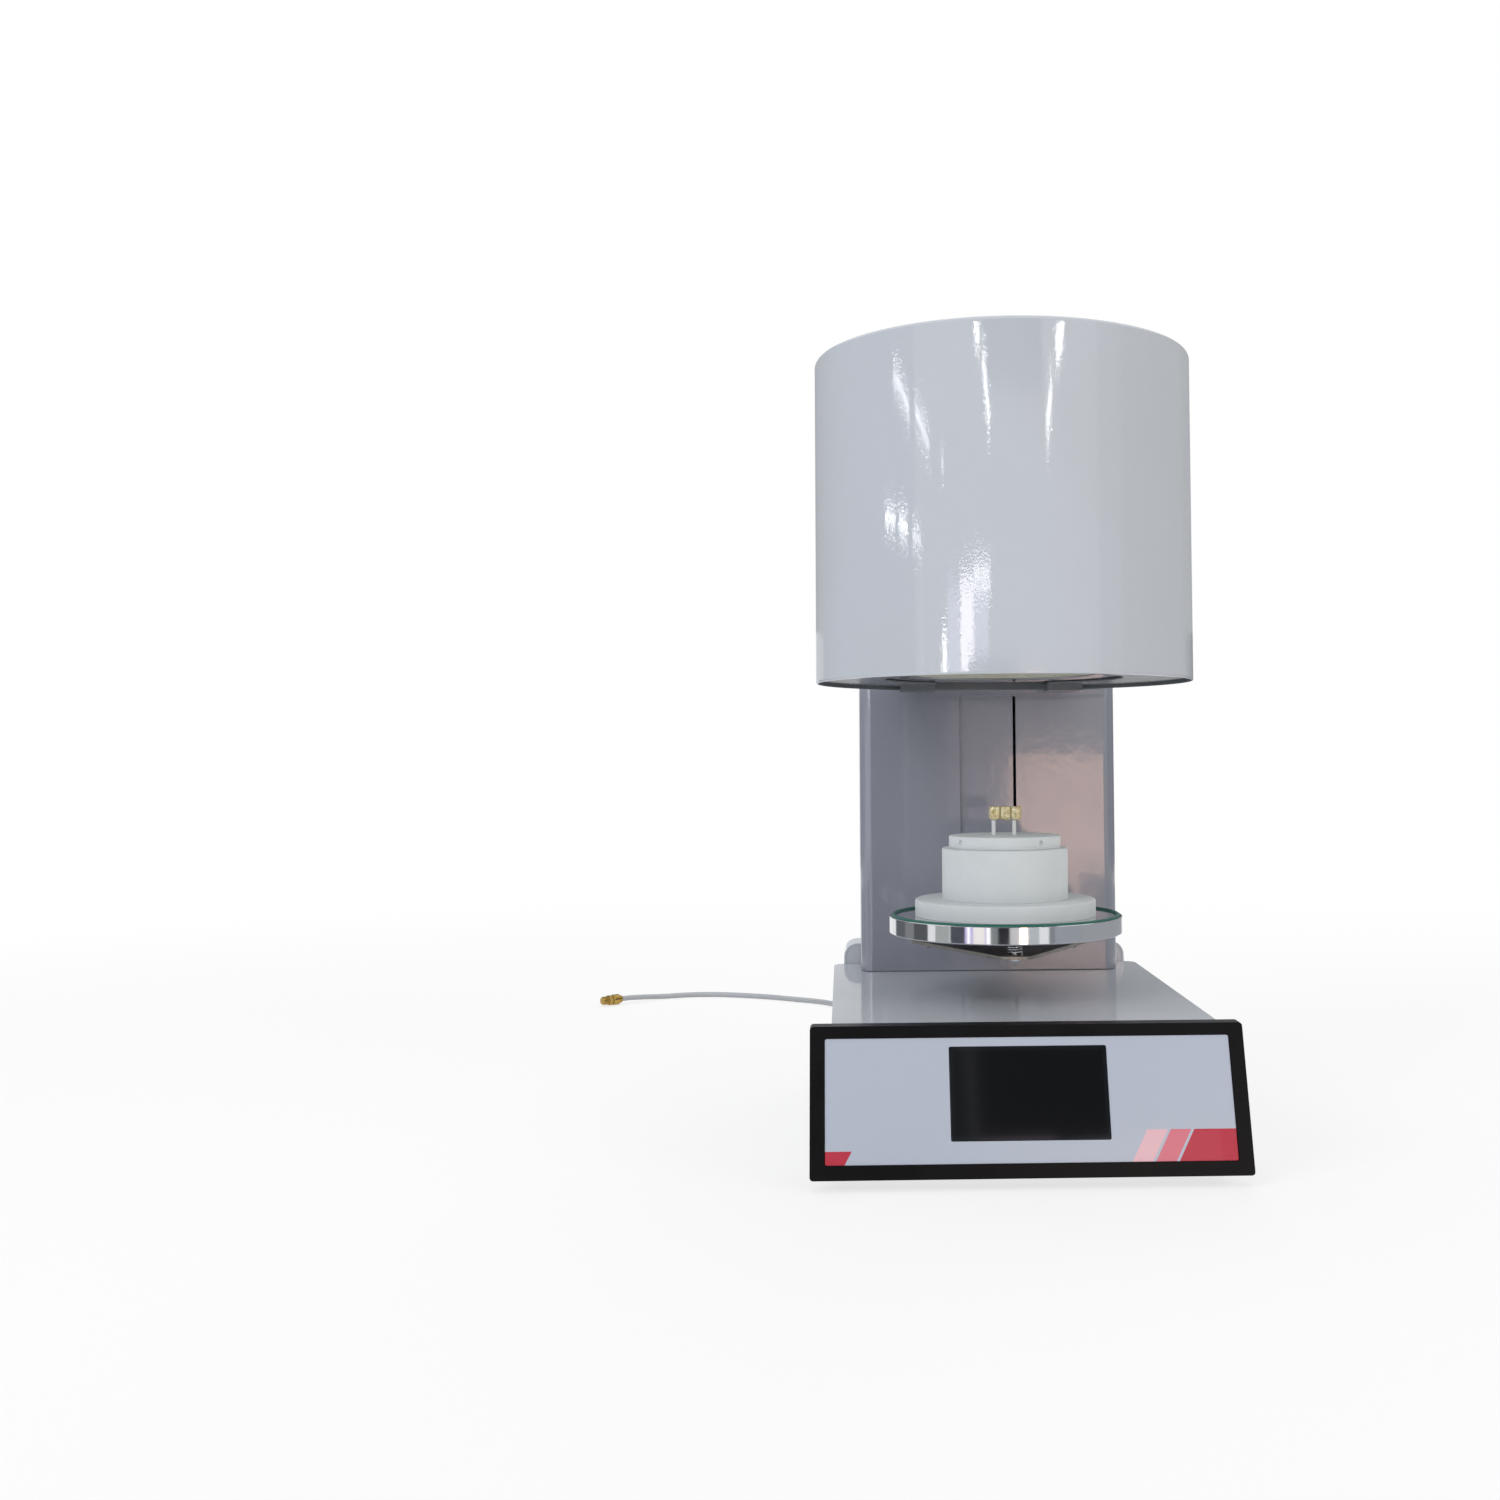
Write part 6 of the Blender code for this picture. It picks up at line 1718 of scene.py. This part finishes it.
@dataclass
class SlopeFinish:
    """A finish whose pattern is laid out in the plane of the sloping front."""

    front: ControlFront

    def begin(self, name: str, roughness: float) -> tuple[bpy.types.Material, Tree, Node, Socket, Socket]:
        """Start the material and give the place on the slope in millimetres.

        Args:
            name: The material's name.
            roughness: Its roughness.

        Returns:
            The material, its tree, its shader, and the sockets of the places across and up the slope.
        """
        result, tree, shader = new_material(name)
        fill(tree, shader, {"Roughness": roughness})
        place = add_node(tree, "ShaderNodeTexCoord").outputs["Object"]
        turn = (-math.radians(self.front.lean), 0.0, 0.0)
        frame = {"vector_type": "TEXTURE", "Location": self.front.foot, "Rotation": turn}
        local = add_node(tree, "ShaderNodeMapping", {**frame, "Scale": (MM, MM, MM), "Vector": place})
        split = add_node(tree, "ShaderNodeSeparateXYZ", {"Vector": local.outputs[0]})
        return result, tree, shader, split.outputs["X"], split.outputs["Z"]

    def band(self, tree: Tree, value: Socket, low: float, high: float) -> Socket:
        """Mark where a value lies between two bounds.

        Args:
            tree: The material's node tree.
            value: The value.
            low: The lower bound.
            high: The upper bound.

        Returns:
            A socket that is 1 inside and 0 outside.
        """
        soft = 0.08
        rise = remap(tree, {"From Min": low - soft, "From Max": low + soft, "Value": value})
        slope = {"From Min": high - soft, "From Max": high + soft, "To Min": 1.0, "To Max": 0.0}
        return calc(tree, "MULTIPLY", rise, remap(tree, {**slope, "Value": value}))

    def paint(self, tree: Tree, under: Socket, colour: str, mask: Socket) -> Socket:
        """Print a colour over what lies under it.

        Args:
            tree: The material's node tree.
            under: The colour under it.
            colour: The ink's colour.
            mask: Where it is printed.

        Returns:
            The new colour's socket.
        """
        mix = {"data_type": "RGBA", 0: mask, 6: under, 7: linear(colour)}
        return add_node(tree, "ShaderNodeMix", mix).outputs[2]


@dataclass
class OverlayPrint(SlopeFinish):
    """Screen-printed polycarbonate overlay: satin, pale blue-grey, with slanted stripes at its foot.

    The stripes run from and to places across the slope in millimetres.
    """

    slot: str = "printed_overlay"
    ground: str = "#aeb6c4"
    cloud: str = "#afb6c4"
    slant: float = 0.55
    stripes: tuple[tuple[float, float, str], ...] = (
        (62.0, 76.0, "#dfb3bb"),
        (78.0, 92.0, "#d0707f"),
        (94.0, 160.0, "#b0223a"),
    )
    stripe_top: float = 31.0
    left_mark: tuple[float, float, str] = (-159.0, -132.0, "#b3243a")
    left_top: float = 19.0

    def material(self) -> bpy.types.Material:
        """Build the printed sheet's material.

        Returns:
            The material.
        """
        result, tree, shader, place_x, place_z = self.begin("printed_polycarbonate_overlay", 0.34)
        spot = add_node(tree, "ShaderNodeTexCoord").outputs["Object"]
        cloud = add_node(tree, "ShaderNodeTexNoise", {"Scale": 9.0, "Detail": 2.0, "Vector": spot})
        mix = {"data_type": "RGBA", 0: cloud.outputs["Fac"], 6: linear(self.ground), 7: linear(self.cloud)}
        colour = add_node(tree, "ShaderNodeMix", mix).outputs[2]
        across = calc(tree, "SUBTRACT", place_x, calc(tree, "MULTIPLY", place_z, self.slant))
        rows = [(self.stripe_top, self.stripes), (self.left_top, (self.left_mark,))]
        for top, marks in rows:
            low = self.band(tree, place_z, 0.0, top)
            for start, end, ink in marks:
                stripe = calc(tree, "MULTIPLY", self.band(tree, across, start, end), low)
                colour = self.paint(tree, colour, ink, stripe)
        grain = add_node(tree, "ShaderNodeTexNoise", {"Scale": 1800.0, "Detail": 2.0, "Vector": spot})
        bump(tree, shader, grain.outputs["Fac"], 0.004 * MM)
        fill(tree, shader, {"Base Color": colour, "Coat Weight": 0.25})
        result.diffuse_color = linear(self.ground)
        return result


@dataclass
class ScreenGlass(SlopeFinish):
    """Dark touch-screen glass, switched off: the picture area shows a shade darker than its rim."""

    slot: str = "screen_glass"
    rim_colour: str = "#1b1d20"
    picture_colour: str = "#161719"
    rim: float = 2.6

    def material(self) -> bpy.types.Material:
        """Build the glass's material.

        Returns:
            The material.
        """
        result, tree, shader, place_x, place_z = self.begin("touch_screen_glass_black", 0.06)
        ground = add_node(tree, "ShaderNodeRGB")
        ground.outputs[0].default_value = linear(self.rim_colour)
        rim, half = self.rim, self.front.screen_width / MM / 2
        low = self.front.screen_rise / MM
        high = low + self.front.screen_height / MM - rim
        wide = self.band(tree, place_x, -half + rim, half - rim)
        area = calc(tree, "MULTIPLY", wide, self.band(tree, place_z, low + rim, high))
        fill(tree, shader, {"Base Color": self.paint(tree, ground.outputs[0], self.picture_colour, area)})
        result.diffuse_color = linear(self.picture_colour)
        return result


@dataclass
class BaseHousing:
    """Base: enamelled deck on its zinc-plated pan, four rubber feet and the supply inside.

    A foot's profile is radius and height in millimetres.
    """

    foot_profile: Outline = (
        (0, 2), (3.2, 2), (3.6, 0.4), (4, 0), (8.9, 0), (9.5, 0.5), (11, 7.2), (10.5, 7.7), (0, 7.7)
    )
    screw_x: float = 135 * MM
    screw_ys: tuple[float, ...] = (-120 * MM, -10 * MM, 110 * MM)
    screw_z: float = 15 * MM

    def feet(self) -> None:
        """Mould the four feet, each with its rounded tread and a recess for its screw."""
        for end in ("front", "rear"):
            for hand in ("left", "right"):
                node = f"foot_{end}_{hand}"
                low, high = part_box(node)
                place = ((low[0] + high[0]) / 2, (low[1] + high[1]) / 2, 0)
                bm = turn_profile(in_mm(*self.foot_profile), place, 64)
                add_piece("moulded_" + node, bm, RUBBER, "base", node)

    def deck_screws(self) -> None:
        """Set the screws that hold the deck to the pan, low on both sides."""
        bm = bmesh.new()
        for way in (-1, 1):
            for y in self.screw_ys:
                screw_head(bm, (way * self.screw_x, y, self.screw_z), (way, 0, 0), *CASE_SCREW)
        add_piece("deck_side_screws", bm, PLATED_SCREW, "base", mended=False)

    def build(self) -> None:
        """Build the base."""
        refine("deck_cover", "enamelled_deck_cover", DECK_ENAMEL, "base", 0.7 * MM, 3)
        refine("base_pan", "pressed_base_pan", ZINC_SHEET, "base", 0.5 * MM)
        dress(ZINC_SHEET, "power_supply")
        self.feet()
        self.deck_screws()


@dataclass
class RearPanel:
    """Rear housing with its sockets, the switch and the fan behind its vents."""

    rear_y: float = 196.5 * MM
    fan: tuple[float, float] = (78 * MM, 62 * MM)
    fan_screw: float = 25 * MM
    inlet: tuple[float, float] = (-20 * MM, 58 * MM)
    inlet_root: float = 184.1 * MM
    blade_spread: float = 7 * MM
    blade: Point = (1.05 * MM, 10.5 * MM, 2.05 * MM)
    screw_spots: Outline = ((-117, 17), (117, 17), (-117, 108), (117, 108), (0, 112))

    def screws(self) -> None:
        """Set the housing's screws and those that hold the fan."""
        bm = bmesh.new()
        for x, z in in_mm(*self.screw_spots):
            screw_head(bm, (x, self.rear_y, z), (0, 1, 0), *CASE_SCREW)
        for x in (-1, 1):
            for z in (-1, 1):
                spot = (self.fan[0] + x * self.fan_screw, self.rear_y, self.fan[1] + z * self.fan_screw)
                screw_head(bm, spot, (0, 1, 0), *FAN_SCREW)
        add_piece("rear_housing_screws", bm, PLATED_SCREW, "base", mended=False)

    def inlet_blades(self) -> None:
        """Sleeve the inlet's three contacts in bright metal."""
        bm = bmesh.new()
        spread, (wide, long, tall) = self.blade_spread, self.blade
        for x, z in ((-spread, -spread / 4), (spread, -spread / 4), (0, spread / 4)):
            x, root, z = self.inlet[0] + x, self.inlet_root, self.inlet[1] + z
            add_box(bm, (x - wide, root, z - tall), (x + wide, root + long, z + tall))
        round_edges(bm, bm.edges[:], 0.4 * MM, 2)
        add_piece("inlet_contact_blades", bm, PLATED_SCREW, "base", mended=False)

    def build(self) -> None:
        """Build the rear panel."""
        refine("rear_housing", "enamelled_rear_housing", DECK_ENAMEL, "base", 0.7 * MM, 3)
        for node, finish, body, width in (
            ("mains_inlet", BLACK_NYLON, "base", 0.4 * MM),
            ("pump_outlet", BLACK_NYLON, "base", 0.4 * MM),
            ("switch_frame", BLACK_NYLON, "base", 0.4 * MM),
            ("switch_rocker", BLACK_ABS, "rocker", 0.4 * MM),
            ("fan_frame", BLACK_NYLON, "base", 0.4 * MM),
            ("fan_rotor", BLACK_NYLON, "fan", 0.25 * MM),
        ):
            refine(node, "moulded_" + node, finish, body, width)
        self.inlet_blades()
        self.screws()


def main() -> None:
    """Build the furnace over its frame."""
    logging.basicConfig(level=logging.INFO, format="%(message)s", stream=sys.stdout)
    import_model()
    Studio().set_up()
    VacuumHose().build()
    parts = (FiringHead(), Column(), LiftTable(), FiringSet(), ControlFront(), BaseHousing(), RearPanel())
    for part in parts:
        LOG.info("building %s", type(part).__name__)
        part.build()


if __name__ == "__main__":
    main()
